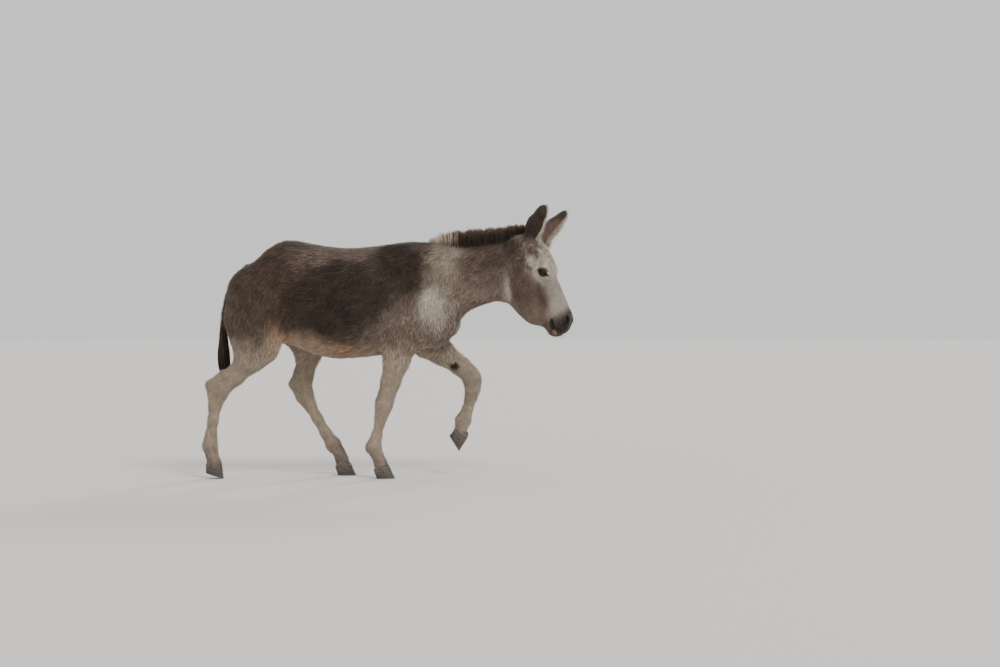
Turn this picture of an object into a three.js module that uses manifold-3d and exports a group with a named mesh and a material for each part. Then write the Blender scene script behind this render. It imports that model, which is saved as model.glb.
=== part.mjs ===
// A donkey in mid-walk, 1.2 m at the withers, as a still life-size model.
// Millimetres. +X is the way it walks, +Y its left side, +Z up, and the floor is z = 0.
// The flesh is one smooth field of lofts and limbs. Each part is a closed net over its own
// stretch of that field, parted from its neighbours by thin cuts.

import * as THREE from 'three';
import Module from 'manifold-3d';
import { mergeVertices } from 'three/addons/utils/BufferGeometryUtils.js';

const wasm = await Module();
wasm.setup();

// ---- driving dimensions ----
const GAP = 0.4; // between parts that a cut divides
const ROOT_GAP = 1.5; // round an ear, the mane or the tail where it leaves the body
const STANCE_HALF_WIDTH = 108; // hooves, out from the midline
const FETLOCK_HEIGHT = 160; // of a leg that stands
const EYE_RADIUS = 20;
const EYE_BULGE = 5; // of the ball, out of the lids' level
const EYE_SIDES = 12;
const EYE_RINGS = 7;
const EAR_LENGTH = 242;
const EAR_RADIUS = 44; // of the cup, at its widest
const EAR_WALL = 11; // ear gristle with the fur on both its faces
const MANE_HALF_WIDTH = 18;
const HOOF_LENGTH = 98;
const HOOF_WIDTH = 80;
const HOOF_TOE_HEIGHT = 70;
const HOOF_HEEL_HEIGHT = 40;
const HEAD_YAW = THREE.MathUtils.degToRad(13); // the face turns to the donkey's right
const HEAD_PIVOT = { x: 640, y: 0 }; // upright axis of that turn, through the poll
const FACE_TILT = THREE.MathUtils.degToRad(64.7); // long axis of the head below level
const POLL = { x: 618, z: 1200 }; // where the long axis of the head starts
const WIDE = 4000; // larger than the whole animal
const SHORT_EDGE = 0.02; // shorter edges are closed up when parts are cut

// ---- fields: negative inside, positive outside ----

// A smooth curve through [position, value, value...] rows, as the values at one position.
function along(rows, s) {
  const last = rows.length - 1;
  if (s <= rows[0][0]) return rows[0].slice(1);
  if (s >= rows[last][0]) return rows[last].slice(1);
  let i = 0;
  while (rows[i + 1][0] < s) i += 1;
  const from = rows[i];
  const to = rows[i + 1];
  const before = rows[Math.max(i - 1, 0)];
  const after = rows[Math.min(i + 2, last)];
  const span = to[0] - from[0];
  const t = (s - from[0]) / span;
  return from.slice(1).map((value, k) => {
    const end = to[k + 1];
    const startSlope = ((end - before[k + 1]) / (to[0] - before[0])) * span;
    const endSlope = ((after[k + 1] - value) / (after[0] - from[0])) * span;
    const t2 = t * t;
    const t3 = t2 * t;
    return (
      value * (2 * t3 - 3 * t2 + 1) +
      startSlope * (t3 - 2 * t2 + t) +
      end * (3 * t2 - 2 * t3) +
      endSlope * (t3 - t2)
    );
  });
}

// A loft along s: rows of [s, low edge, high edge, half width, taper, squareness].
// Taper above 0 narrows the high edge; squareness 2 is an ellipse.
function loft(rows, s, height, side) {
  const first = rows[0][0];
  const last = rows[rows.length - 1][0];
  const [low, high, width, taper, squareness] = along(rows, s);
  const middle = (low + high) / 2;
  const half = Math.max((high - low) / 2, 1);
  const v = (height - middle) / half;
  const lean = 1 - taper * THREE.MathUtils.clamp(v, -1.2, 1.2);
  const w = Math.abs(side) / Math.max(width * lean, 1);
  const ring = (w ** squareness + Math.abs(v) ** squareness) ** (1 / squareness);
  const section = (ring - 1) * Math.min(half, Math.max(width, 1));
  return Math.max(section, first - s, s - last);
}

// A tapering limb through [x, y, z, radius, width ratio] joints, each joint blended in.
function limb(joints, p, soft = 18) {
  let nearest = Infinity;
  for (let i = 0; i + 1 < joints.length; i += 1) {
    const [ax, ay, az, ar, aw] = joints[i];
    const [bx, by, bz, br, bw] = joints[i + 1];
    const dx = bx - ax;
    const dy = by - ay;
    const dz = bz - az;
    const reach = (p.x - ax) * dx + (p.y - ay) * dy + (p.z - az) * dz;
    const t = THREE.MathUtils.clamp(reach / (dx * dx + dy * dy + dz * dz), 0, 1);
    const width = aw + (bw - aw) * t;
    const cx = p.x - ax - dx * t;
    const cy = (p.y - ay - dy * t) / width;
    const cz = p.z - az - dz * t;
    const radius = ar + (br - ar) * t;
    const distance = (Math.hypot(cx, cy, cz) - radius) * Math.min(1, width);
    nearest = blend(nearest, distance, soft);
  }
  return nearest;
}

// An ellipsoid at a centre, with a radius along each axis.
function lump([cx, cy, cz], [rx, ry, rz], x, y, z) {
  const k = Math.hypot((x - cx) / rx, (y - cy) / ry, (z - cz) / rz);
  return (k - 1) * Math.min(rx, ry, rz);
}

// Union with a rounded crease; soft is how far the rounding reaches.
function blend(a, b, soft) {
  if (!Number.isFinite(a)) return b;
  const h = Math.max(soft - Math.abs(a - b), 0) / soft;
  return Math.min(a, b) - (h * h * soft) / 4;
}

// Takes b out of a, with a rounded edge.
function hollow(a, b, soft) {
  return -blend(-a, b, soft);
}

// ---- trunk and neck ----
// [x, underline, topline, half width, taper, squareness]
const TORSO = [
  [-828, 860, 885, 8, 0, 2],
  [-814, 790, 950, 62, 0.05, 2.1],
  [-784, 735, 1022, 98, 0.1, 2.2],
  [-740, 704, 1096, 130, 0.14, 2.3],
  [-690, 694, 1154, 150, 0.18, 2.3],
  [-610, 690, 1203, 176, 0.16, 2.3],
  [-540, 668, 1211, 196, 0.12, 2.2],
  [-440, 628, 1193, 214, 0.07, 2.15],
  [-340, 604, 1177, 221, 0.07, 2.1],
  [-230, 606, 1172, 214, 0.1, 2.1],
  [-110, 618, 1184, 190, 0.18, 2.1],
  [0, 634, 1200, 164, 0.3, 2.1],
  [90, 646, 1206, 144, 0.38, 2.1],
  [180, 664, 1203, 126, 0.38, 2.1],
  [245, 700, 1196, 110, 0.3, 2.1],
  [290, 764, 1191, 100, 0.24, 2.1],
  [340, 830, 1186, 91, 0.22, 2.1],
  [410, 868, 1190, 83, 0.24, 2.1],
  [510, 900, 1208, 74, 0.26, 2.1],
  [600, 930, 1228, 66, 0.2, 2.1],
  [655, 960, 1226, 56, 0.1, 2.1],
];

// Shoulder blade, point of the shoulder, upper arm and the muscle behind it.
function shoulder(p, side, forward) {
  const blade = [
    [55, side * 58, 1110, 62, 0.5],
    [120 + forward * 0.3, side * 92, 940, 92, 0.5],
    [196 + forward * 0.15, side * 106, 790, 84, 0.55],
  ];
  const arm = [
    [196 + forward * 0.15, side * 106, 790, 78, 0.6],
    [20 + forward, side * 112, 706, 66, 0.7],
  ];
  const triceps = [
    [-35 + forward * 0.2, side * 96, 935, 86, 0.55],
    [0 + forward * 0.9, side * 116, 742, 66, 0.62],
  ];
  const front = blend(limb(blade, p, 40), limb(arm, p), 40);
  return blend(front, limb(triceps, p), 45);
}

// Haunch: hip down to the stifle, the hamstrings, and the point of the hip.
function haunch(p, side, hip, stifle) {
  const thigh = [
    [hip.x, side * 92, hip.z, 142, 0.66],
    [stifle.x - 20, side * 118, stifle.z + 60, 104, 0.6],
    [stifle.x, side * 128, stifle.z, 70, 0.62],
  ];
  const hamstring = [
    [hip.x - 68, side * 78, hip.z - 10, 84, 0.72],
    [(hip.x + stifle.x) / 2 - 88, side * 100, (hip.z + stifle.z) / 2, 84, 0.66],
    [stifle.x - 84, side * 114, stifle.z + 8, 62, 0.62],
  ];
  const point = lump([-505, side * 148, 1098], [62, 40, 52], p.x, p.y, p.z);
  const leg = blend(limb(thigh, p, 40), limb(hamstring, p, 40), 50);
  return blend(leg, point, 60);
}

// ---- legs ----
// Each leg: joints of [x, y, z, radius fore and aft, width ratio], from the body down.
const RIGHT = -1;
const LEFT = 1;
const rightHip = { x: -712, z: 950 };
const rightStifle = { x: -690, z: 662 };
const leftHip = { x: -668, z: 955 };
const leftStifle = { x: -462, z: 722 };
const SWING = 104; // the left shoulder's reach ahead of the right one's

const foreRight = [
  [18, -114, 690, 74, 0.66],
  [-14, -112, 590, 66, 0.66],
  [-42, -109, 490, 52, 0.74],
  [-62, -107, 425, 44, 0.86],
  [-76, -106, 378, 47, 0.84],
  [-86, -106, 335, 37, 0.86],
  [-97, -107, 290, 29, 0.8],
  [-114, -107, 215, 28, 0.82],
  [-128, -108, FETLOCK_HEIGHT, 38, 0.86],
  [-108, -108, 112, 30, 0.92],
  [-93, -108, 74, 34, 0.95],
  [-90, -108, 50, 33, 0.95],
];

const foreLeft = [
  [134, 112, 686, 78, 0.62],
  [219, 110, 631, 67, 0.64],
  [307, 106, 563, 52, 0.74],
  [354, 104, 522, 46, 0.84],
  [368, 104, 492, 48, 0.82],
  [371, 105, 446, 40, 0.84],
  [361, 106, 402, 33, 0.8],
  [342, 108, 336, 29, 0.82],
  [324, 110, 284, 39, 0.84],
  [310, 110, 238, 30, 0.92],
  [301, 110, 206, 35, 0.95],
  [296, 110, 186, 35, 0.95],
];

const hindRight = [
  [rightStifle.x, -128, rightStifle.z, 74, 0.62],
  [-752, -122, 604, 70, 0.66],
  [-832, -114, 518, 51, 0.74],
  [-896, -109, 462, 46, 0.78],
  [-922, -108, 420, 46, 0.72],
  [-932, -108, 370, 34, 0.8],
  [-942, -108, 296, 29, 0.84],
  [-952, -108, 222, 30, 0.84],
  [-956, -108, 168, 38, 0.84],
  [-946, -108, 118, 31, 0.92],
  [-938, -108, 82, 34, 0.95],
  [-935, -108, 60, 34, 0.95],
];

const hindLeft = [
  [leftStifle.x, 128, leftStifle.z, 80, 0.62],
  [-478, 122, 628, 68, 0.66],
  [-496, 114, 520, 48, 0.74],
  [-504, 109, 452, 45, 0.78],
  [-494, 108, 408, 46, 0.72],
  [-470, 108, 362, 34, 0.8],
  [-430, 108, 292, 29, 0.84],
  [-388, 108, 218, 30, 0.84],
  [-348, 108, FETLOCK_HEIGHT, 38, 0.84],
  [-318, 108, 116, 31, 0.92],
  [-303, 108, 76, 34, 0.95],
  [-300, 108, 54, 33, 0.95],
];

// The point of the hock stands behind and above the joint.
const rightHockPoint = [
  [-914, -108, 430, 34, 0.7],
  [-958, -108, 476, 23, 0.72],
  [-896, -112, 536, 17, 0.7],
];
const leftHockPoint = [
  [-506, 108, 424, 34, 0.7],
  [-556, 108, 470, 23, 0.72],
  [-532, 110, 536, 17, 0.7],
];

// ---- head ----
// [distance from the poll, jaw edge, face edge, half width, taper, squareness]
const HEAD = [
  [-42, -52, 6, 20, 0, 2],
  [-22, -90, 44, 52, 0, 2.1],
  [10, -114, 74, 68, -0.02, 2.2],
  [50, -132, 98, 74, -0.04, 2.3],
  [90, -150, 113, 77, -0.02, 2.4],
  [135, -167, 117, 80, -0.04, 2.4],
  [178, -184, 113, 80, -0.1, 2.4],
  [215, -198, 101, 77, -0.1, 2.3],
  [250, -193, 92, 70, -0.04, 2.3],
  [300, -181, 91, 60, 0.04, 2.4],
  [350, -163, 88, 52, 0.1, 2.4],
  [400, -136, 86, 48, 0.08, 2.3],
  [440, -86, 84, 49, 0.02, 2.2],
  [468, -67, 70, 50, 0, 2.2],
  [492, -62, 46, 44, 0, 2.2],
  [509, -51, 18, 32, 0, 2.1],
  [519, -36, -12, 10, 0, 2],
];

const headAxis = { cos: Math.cos(FACE_TILT), sin: Math.sin(FACE_TILT) };

// World place to head place: x down the face, y out to the left, z from jaw to forehead.
function toHead(p) {
  const dx = p.x - HEAD_PIVOT.x;
  const dy = p.y - HEAD_PIVOT.y;
  const straight = dx * Math.cos(HEAD_YAW) - dy * Math.sin(HEAD_YAW) + HEAD_PIVOT.x - POLL.x;
  const side = dx * Math.sin(HEAD_YAW) + dy * Math.cos(HEAD_YAW);
  const up = p.z - POLL.z;
  return {
    u: straight * headAxis.cos - up * headAxis.sin,
    v: straight * headAxis.sin + up * headAxis.cos,
    w: side,
  };
}

// Head place to world place.
function fromHead(u, v, w) {
  const straight = u * headAxis.cos + v * headAxis.sin + POLL.x - HEAD_PIVOT.x;
  const up = -u * headAxis.sin + v * headAxis.cos;
  return new THREE.Vector3(
    HEAD_PIVOT.x + straight * Math.cos(HEAD_YAW) + w * Math.sin(HEAD_YAW),
    HEAD_PIVOT.y - straight * Math.sin(HEAD_YAW) + w * Math.cos(HEAD_YAW),
    POLL.z + up,
  );
}

const EYE = { u: 200, v: 52 };

function head(p) {
  const { u, v, w } = toHead(p);
  const out = Math.abs(w);
  let d = loft(HEAD, u, v, w);
  const brow = lump([182, 70, 70], [44, 30, 25], u, v, out);
  const orbit = lump([EYE.u, 46, 66], [40, 34, 28], u, v, out);
  const cheek = lump([196, -84, 46], [96, 92, 38], u, v, out);
  const crest = lump([300, 8, 44], [70, 16, 22], u, v, out);
  const nostril = lump([456, 42, 36], [34, 30, 21], u, v, out);
  const upperLip = lump([488, 6, 18], [30, 34, 34], u, v, out);
  const chin = lump([468, -42, 12], [36, 26, 34], u, v, out);
  const earRoot = lump([28, 36, 56], [48, 46, 32], u, v, out);
  const temple = lump([120, 34, 92], [44, 26, 20], u, v, out);
  const noseSide = lump([376, 44, 74], [70, 26, 24], u, v, out);
  d = blend(d, cheek, 26);
  d = blend(d, orbit, 30);
  d = blend(d, brow, 26);
  d = blend(d, crest, 26);
  d = blend(d, nostril, 22);
  d = blend(d, upperLip, 22);
  d = blend(d, chin, 18);
  d = blend(d, earRoot, 30);
  d = hollow(d, temple, 24);
  d = hollow(d, noseSide, 30);
  return d;
}

// ---- the whole body ----
const LEGS = { foreRight, foreLeft, hindRight, hindLeft };
const HOCKS = { hindRight: rightHockPoint, hindLeft: leftHockPoint };

function torso(p) {
  let d = loft(TORSO, p.x, p.z, p.y);
  const near = p.y < 0;
  if (near) {
    d = blend(d, shoulder(p, RIGHT, 0), 45);
    d = blend(d, haunch(p, RIGHT, rightHip, rightStifle), 55);
  } else {
    d = blend(d, shoulder(p, LEFT, SWING), 45);
    d = blend(d, haunch(p, LEFT, leftHip, leftStifle), 55);
  }
  const out = Math.abs(p.y);
  const flank = lump([-560, 232, 900], [70, 44, 120], p.x, out, p.z);
  const throat = lump([520, 96, 985], [120, 34, 60], p.x, out, p.z);
  const breast = lump([214, 46, 760], [76, 56, 78], p.x, out, p.z);
  d = blend(d, breast, 40);
  d = hollow(d, flank, 60);
  return hollow(d, throat, 40);
}

function leg(p, name) {
  const bones = limb(LEGS[name], p);
  return HOCKS[name] ? blend(bones, limb(HOCKS[name], p), 22) : bones;
}

const bodyWith = (names) => (p) => {
  let d = blend(torso(p), head(p), 28);
  names.forEach((name) => {
    d = blend(d, leg(p, name), 34);
  });
  return d;
};

// ---- nets and cuts ----

// A closed quad net on a field inside a box, its points drawn onto the surface.
const CELL_RIM = 0.07; // the share of a cell at each side that its point keeps out of
function net(field, box, cell) {
  const size = [0, 1, 2].map((k) => Math.ceil((box[1][k] - box[0][k]) / cell[k]) + 1);
  const at = (i, j, k) => i + size[0] * (j + size[1] * k);
  const place = (i, j, k) => ({
    x: box[0][0] + i * cell[0],
    y: box[0][1] + j * cell[1],
    z: box[0][2] + k * cell[2],
  });
  const values = new Float64Array(size[0] * size[1] * size[2]);
  for (let k = 0; k < size[2]; k += 1) {
    for (let j = 0; j < size[1]; j += 1) {
      for (let i = 0; i < size[0]; i += 1) {
        const edge = i * j * k === 0 || i === size[0] - 1 || j === size[1] - 1 || k === size[2] - 1;
        values[at(i, j, k)] = edge ? 1 : field(place(i, j, k)) || 1e-6;
      }
    }
  }
  calm(values, size);
  const corners = [0, 1, 2, 3, 4, 5, 6, 7].map((c) => [c & 1, (c >> 1) & 1, c >> 2]);
  const edges = [];
  corners.forEach((a, i) => {
    corners.forEach((b, j) => {
      const steps = Math.abs(a[0] - b[0]) + Math.abs(a[1] - b[1]) + Math.abs(a[2] - b[2]);
      if (j > i && steps === 1) edges.push([a, b]);
    });
  });
  const points = [];
  const pointAt = new Map();
  for (let k = 0; k + 1 < size[2]; k += 1) {
    for (let j = 0; j + 1 < size[1]; j += 1) {
      for (let i = 0; i + 1 < size[0]; i += 1) {
        const sum = [0, 0, 0];
        let crossings = 0;
        edges.forEach(([a, b]) => {
          const va = values[at(i + a[0], j + a[1], k + a[2])];
          const vb = values[at(i + b[0], j + b[1], k + b[2])];
          if (va < 0 === vb < 0) return;
          const t = va / (va - vb);
          [0, 1, 2].forEach((n) => {
            sum[n] += a[n] + (b[n] - a[n]) * t;
          });
          crossings += 1;
        });
        if (crossings > 0) {
          const [x, y, z] = sum.map((value) => value / crossings);
          pointAt.set(at(i, j, k), points.length);
          points.push(settle(field, place(i + x, j + y, k + z), place(i, j, k), cell));
        }
      }
    }
  }
  const index = [];
  const quad = (a, b, c, d, flip) => {
    const ring = flip ? [d, c, b, a] : [a, b, c, d];
    const ids = ring.map((cellIndex) => pointAt.get(cellIndex));
    const [p, q, r, s] = ids.map((id) => points[id]);
    if (p.distanceTo(r) <= q.distanceTo(s)) index.push(ids[0], ids[1], ids[2], ids[0], ids[2], ids[3]);
    else index.push(ids[0], ids[1], ids[3], ids[1], ids[2], ids[3]);
  };
  for (let k = 0; k + 1 < size[2]; k += 1) {
    for (let j = 0; j + 1 < size[1]; j += 1) {
      for (let i = 0; i + 1 < size[0]; i += 1) {
        const inside = values[at(i, j, k)] < 0;
        if (inside !== values[at(i + 1, j, k)] < 0) {
          quad(at(i, j - 1, k - 1), at(i, j, k - 1), at(i, j, k), at(i, j - 1, k), !inside);
        }
        if (inside !== values[at(i, j + 1, k)] < 0) {
          quad(at(i - 1, j, k - 1), at(i - 1, j, k), at(i, j, k), at(i, j, k - 1), !inside);
        }
        if (inside !== values[at(i, j, k + 1)] < 0) {
          quad(at(i - 1, j - 1, k), at(i, j - 1, k), at(i, j, k), at(i - 1, j, k), !inside);
        }
      }
    }
  }
  const geometry = new THREE.BufferGeometry().setFromPoints(points);
  geometry.setIndex(index);
  return geometry;
}

// Where the corners of a grid square lie in, out, in and out, turns the one nearest the surface.
function calm(values, size) {
  const steps = [1, size[0], size[0] * size[1]];
  const pairs = [[0, 1], [0, 2], [1, 2]];
  const squares = pairs.map(([a, b]) => [0, steps[a], steps[a] + steps[b], steps[b]]);
  const last = values.length - steps[0] - steps[1] - steps[2];
  let turned = true;
  while (turned) {
    turned = false;
    for (let start = 0; start < last; start += 1) {
      squares.forEach((square) => {
        const ring = square.map((step) => values[start + step] < 0);
        if (ring[0] !== ring[2] || ring[1] !== ring[3] || ring[0] === ring[1]) return;
        const inner = square.filter((step) => values[start + step] < 0);
        const weakest = inner.sort((a, b) => values[start + b] - values[start + a])[0];
        values[start + weakest] = 0.5;
        turned = true;
      });
    }
  }
}

// Draws a point onto the surface, without leaving the cell that it stands for.
function settle(field, start, corner, cell) {
  const point = new THREE.Vector3(start.x, start.y, start.z);
  const size = new THREE.Vector3(...cell);
  const low = new THREE.Vector3(corner.x, corner.y, corner.z).addScaledVector(size, CELL_RIM);
  const high = low.clone().addScaledVector(size, 1 - 2 * CELL_RIM);
  const slope = new THREE.Vector3();
  for (let round = 0; round < 3; round += 1) {
    const value = field(point);
    ['x', 'y', 'z'].forEach((axis) => {
      const probe = point.clone();
      probe[axis] += 1;
      slope[axis] = field(probe) - value;
    });
    point.addScaledVector(slope, -value / Math.max(slope.lengthSq(), 0.05)).clamp(low, high);
  }
  return point;
}

function toSolid(geometry) {
  geometry.deleteAttribute('normal');
  geometry.deleteAttribute('uv');
  const merged = mergeVertices(geometry, 1e-3);
  const solid = new wasm.Mesh({
    numProp: 3,
    vertProperties: new Float32Array(merged.attributes.position.array),
    triVerts: new Uint32Array(merged.index.array),
    tolerance: SHORT_EDGE,
  });
  return new wasm.Manifold(solid);
}

function toGeometry(solid) {
  const mesh = solid.getMesh();
  const geometry = new THREE.BufferGeometry();
  geometry.setAttribute('position', new THREE.BufferAttribute(mesh.vertProperties, 3));
  geometry.setIndex(new THREE.BufferAttribute(mesh.triVerts, 1));
  return geometry;
}

// Everything on the side of a plane that its normal points to, from shift beyond the plane.
function beyond(plane, shift = GAP / 2) {
  const normal = new THREE.Vector3(plane.nx, plane.ny ?? 0, plane.nz).normalize();
  const block = new THREE.BoxGeometry(WIDE, WIDE, WIDE);
  block.translate(0, 0, WIDE / 2 + shift);
  block.applyQuaternion(new THREE.Quaternion().setFromUnitVectors(new THREE.Vector3(0, 0, 1), normal));
  block.translate(plane.x, plane.y ?? 0, plane.z);
  return toSolid(block);
}

const opposite = (plane) => ({ ...plane, nx: -plane.nx, ny: -(plane.ny ?? 0), nz: -plane.nz });

// A stretch of the body between planes, each given with its normal into the part.
function stretch(names, box, cell, planes) {
  let solid = toSolid(net(bodyWith(names), box, cell));
  planes.forEach((plane) => {
    solid = solid.intersect(beyond(plane));
  });
  return solid;
}

function boxSolid(low, high) {
  const block = new THREE.BoxGeometry(high[0] - low[0], high[1] - low[1], high[2] - low[2]);
  block.translate((low[0] + high[0]) / 2, (low[1] + high[1]) / 2, (low[2] + high[2]) / 2);
  return toSolid(block);
}

// Closes a stack of rings of points, each ring as long as the next, with a fan at each end.
function stack(rings) {
  const sides = rings[0].length;
  const points = rings.flat();
  const index = [];
  for (let r = 0; r + 1 < rings.length; r += 1) {
    for (let i = 0; i < sides; i += 1) {
      const a = r * sides + i;
      const b = r * sides + ((i + 1) % sides);
      index.push(a, b, b + sides, a, b + sides, a + sides);
    }
  }
  const middle = (ring) => ring.reduce((sum, p) => sum.add(p), new THREE.Vector3()).divideScalar(sides);
  const start = points.push(middle(rings[0])) - 1;
  const end = points.push(middle(rings[rings.length - 1])) - 1;
  const top = (rings.length - 1) * sides;
  for (let i = 0; i < sides; i += 1) {
    const next = (i + 1) % sides;
    index.push(start, next, i);
    index.push(end, top + i, top + next);
  }
  const geometry = new THREE.BufferGeometry().setFromPoints(points);
  geometry.setIndex(index);
  return geometry;
}

// ---- where the parts meet: a point on the cut and its normal, down the part ----
const cuts = {
  neckBase: { x: 205, z: 1000, nx: 0.954, nz: 0.299 },
  nape: { x: 562, z: 1072, nx: 0.962, nz: -0.273 },
  noseBridge: { x: 752, z: 880, nx: 0.427, nz: -0.904 },
  foreRight: { x: -14, z: 604, nx: 0.06, nz: -0.998 },
  foreRightKnee: { x: -60, z: 424, nx: -0.27, nz: -0.963 },
  foreRightFetlock: { x: -119, z: 194, nx: -0.22, nz: -0.975 },
  foreRightCoronet: { x: -90, z: 66, nx: 0.28, nz: -0.96 },
  foreLeft: { x: 214, z: 612, nx: 0.789, nz: -0.614 },
  foreLeftKnee: { x: 352, z: 524, nx: 0.72, nz: -0.694 },
  foreLeftFetlock: { x: 334, z: 312, nx: -0.32, nz: -0.947 },
  foreLeftCoronet: { x: 299, z: 203, nx: -0.62, nz: -0.785 },
  hindRight: { x: -768, z: 582, nx: -0.75, nz: -0.66 },
  hindRightHock: { x: -884, z: 478, nx: -0.6, nz: -0.8 },
  hindRightFetlock: { x: -954, z: 204, nx: -0.1, nz: -0.995 },
  hindRightCoronet: { x: -934, z: 78, nx: 0.04, nz: -0.999 },
  hindLeft: { x: -478, z: 596, nx: -0.13, nz: -0.991 },
  hindLeftHock: { x: -505, z: 470, nx: 0, nz: -1 },
  hindLeftFetlock: { x: -372, z: 192, nx: 0.46, nz: -0.888 },
  hindLeftCoronet: { x: -300, z: 66, nx: 0.28, nz: -0.96 },
};

const group = new THREE.Group();

function addPart(name, geometry, color, roughness) {
  geometry.computeVertexNormals();
  const material = new THREE.MeshStandardMaterial({ color, roughness, metalness: 0 });
  const mesh = new THREE.Mesh(geometry, material);
  mesh.name = name;
  group.add(mesh);
  return mesh;
}

const COLORS = {
  dark: 0x4a403c,
  grey: 0x8a8079,
  pale: 0xa59c95,
  leg: 0x97908a,
  ear: 0x3a2f2b,
  mane: 0x2b2320,
  horn: 0x2e2a28,
  eye: 0x1d130d,
};
const COAT_ROUGHNESS = 0.85;
const HORN_ROUGHNESS = 0.55;
const EYE_ROUGHNESS = 0.1;

// ---- legs: forearm or gaskin, cannon, pastern, and the hoof below ----

// Hoof rings from the sole up to the coronet; the origin is the middle of the sole.
const HOOF_SIDES = 16;
const HOOF_SLOPE = 0.42; // how far the wall leans back for each millimetre that it rises
function hoofGeometry() {
  const rings = [[0, 1], [1, 0.91]].map(([rise, size]) => {
    return Array.from({ length: HOOF_SIDES }, (_, i) => {
      const angle = (i / HOOF_SIDES) * Math.PI * 2;
      const front = Math.cos(angle);
      const blunt = front > 0 ? front : -Math.sqrt(-front);
      const length = HOOF_LENGTH * (front > 0 ? 0.54 : 0.46);
      const height = rise * THREE.MathUtils.lerp(HOOF_HEEL_HEIGHT, HOOF_TOE_HEIGHT, (blunt + 1) / 2);
      const side = Math.sin(angle) * (HOOF_WIDTH / 2) * size;
      return new THREE.Vector3(blunt * length * size - height * HOOF_SLOPE, side, height);
    });
  });
  return stack(rings);
}

// A hoof pitched toe down about its toe, its sole's middle at (x, z).
function hoof({ x, y, z, pitch }, coronet) {
  const geometry = hoofGeometry();
  geometry.rotateY(pitch);
  geometry.translate(x, y, z);
  const floor = { x: 0, z: 0, nx: 0, nz: 1 };
  return toSolid(geometry).intersect(beyond(coronet)).intersect(beyond(floor, 0));
}

const legParts = {
  foreRight: {
    names: ['forearm_fore_right', 'cannon_fore_right', 'pastern_fore_right', 'hoof_fore_right'],
    cuts: [cuts.foreRight, cuts.foreRightKnee, cuts.foreRightFetlock, cuts.foreRightCoronet],
    box: [[-190, -215, 10], [140, -15, 680]],
    hoof: { x: -72, y: -STANCE_HALF_WIDTH, z: 0, pitch: 0 },
  },
  foreLeft: {
    names: ['forearm_fore_left', 'cannon_fore_left', 'pastern_fore_left', 'hoof_fore_left'],
    cuts: [cuts.foreLeft, cuts.foreLeftKnee, cuts.foreLeftFetlock, cuts.foreLeftCoronet],
    box: [[120, 15, 150], [450, 205, 760]],
    hoof: { x: 272, y: 110, z: 168, pitch: THREE.MathUtils.degToRad(58) },
  },
  hindRight: {
    names: ['gaskin_hind_right', 'cannon_hind_right', 'pastern_hind_right', 'hoof_hind_right'],
    cuts: [cuts.hindRight, cuts.hindRightHock, cuts.hindRightFetlock, cuts.hindRightCoronet],
    box: [[-1030, -215, 20], [-640, -35, 740]],
    hoof: { x: -938, y: -STANCE_HALF_WIDTH, z: 16, pitch: THREE.MathUtils.degToRad(19) },
  },
  hindLeft: {
    names: ['gaskin_hind_left', 'cannon_hind_left', 'pastern_hind_left', 'hoof_hind_left'],
    cuts: [cuts.hindLeft, cuts.hindLeftHock, cuts.hindLeftFetlock, cuts.hindLeftCoronet],
    box: [[-624, 33, 12], [-230, 215, 700]],
    hoof: { x: -282, y: STANCE_HALF_WIDTH, z: 0, pitch: 0 },
  },
};

const UPPER_CELL = [32, 27, 44];
const LOWER_CELL = [25, 21, 38];

Object.entries(legParts).forEach(([name, part]) => {
  const [bodyCut, kneeCut, fetlockCut, coronetCut] = part.cuts;
  const upper = stretch([name], part.box, UPPER_CELL, [bodyCut, opposite(kneeCut)]);
  const cannon = stretch([name], part.box, LOWER_CELL, [kneeCut, opposite(fetlockCut)]);
  const pastern = stretch([name], part.box, LOWER_CELL, [fetlockCut, opposite(coronetCut)]);
  addPart(part.names[0], toGeometry(upper), COLORS.leg, COAT_ROUGHNESS);
  addPart(part.names[1], toGeometry(cannon), COLORS.leg, COAT_ROUGHNESS);
  addPart(part.names[2], toGeometry(pastern), COLORS.leg, COAT_ROUGHNESS);
  addPart(part.names[3], toGeometry(hoof(part.hoof, coronetCut)), COLORS.horn, HORN_ROUGHNESS);
});

// ---- trunk, with each leg taken off at its cut ----
const trunkBox = [[-900, -300, 540], [420, 300, 1260]];
const TRUNK_CELL = [70, 52, 58];
const legNames = Object.keys(LEGS);
const foreLeftReach = boxSolid(...legParts.foreLeft.box).intersect(beyond(cuts.foreLeft, -GAP / 2));
let trunk = stretch(legNames, trunkBox, TRUNK_CELL, [opposite(cuts.neckBase)]);
Object.values(legParts).forEach(({ cuts: [bodyCut], box }) => {
  trunk = trunk.subtract(boxSolid(...box).intersect(beyond(bodyCut, -GAP / 2)));
});
addPart('trunk', toGeometry(trunk), COLORS.dark, COAT_ROUGHNESS);

// ---- neck and head ----
const neckBox = [[60, -190, 660], [700, 190, 1290]];
const NECK_CELL = [50, 36, 44];
const neckWhole = stretch([], neckBox, NECK_CELL, [cuts.neckBase, opposite(cuts.nape)]);
const neck = neckWhole.subtract(foreLeftReach);
addPart('neck', toGeometry(neck), COLORS.grey, COAT_ROUGHNESS);

const headBox = [[440, -170, 640], [930, 160, 1330]];
const HEAD_CELL = [27, 26, 27];
const MUZZLE_CELL = [21, 19, 21];

// How far out from the middle of the head its surface is, at the level of the eye.
function orbitSurface(side) {
  let out = 60;
  while (head(fromHead(EYE.u, EYE.v, side * out)) < 0) out += 0.5;
  return out;
}

function ball(centre, radius) {
  const geometry = new THREE.SphereGeometry(radius, EYE_SIDES, EYE_RINGS);
  geometry.rotateX(Math.PI / 2);
  geometry.translate(centre.x, centre.y, centre.z);
  return geometry;
}

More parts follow.
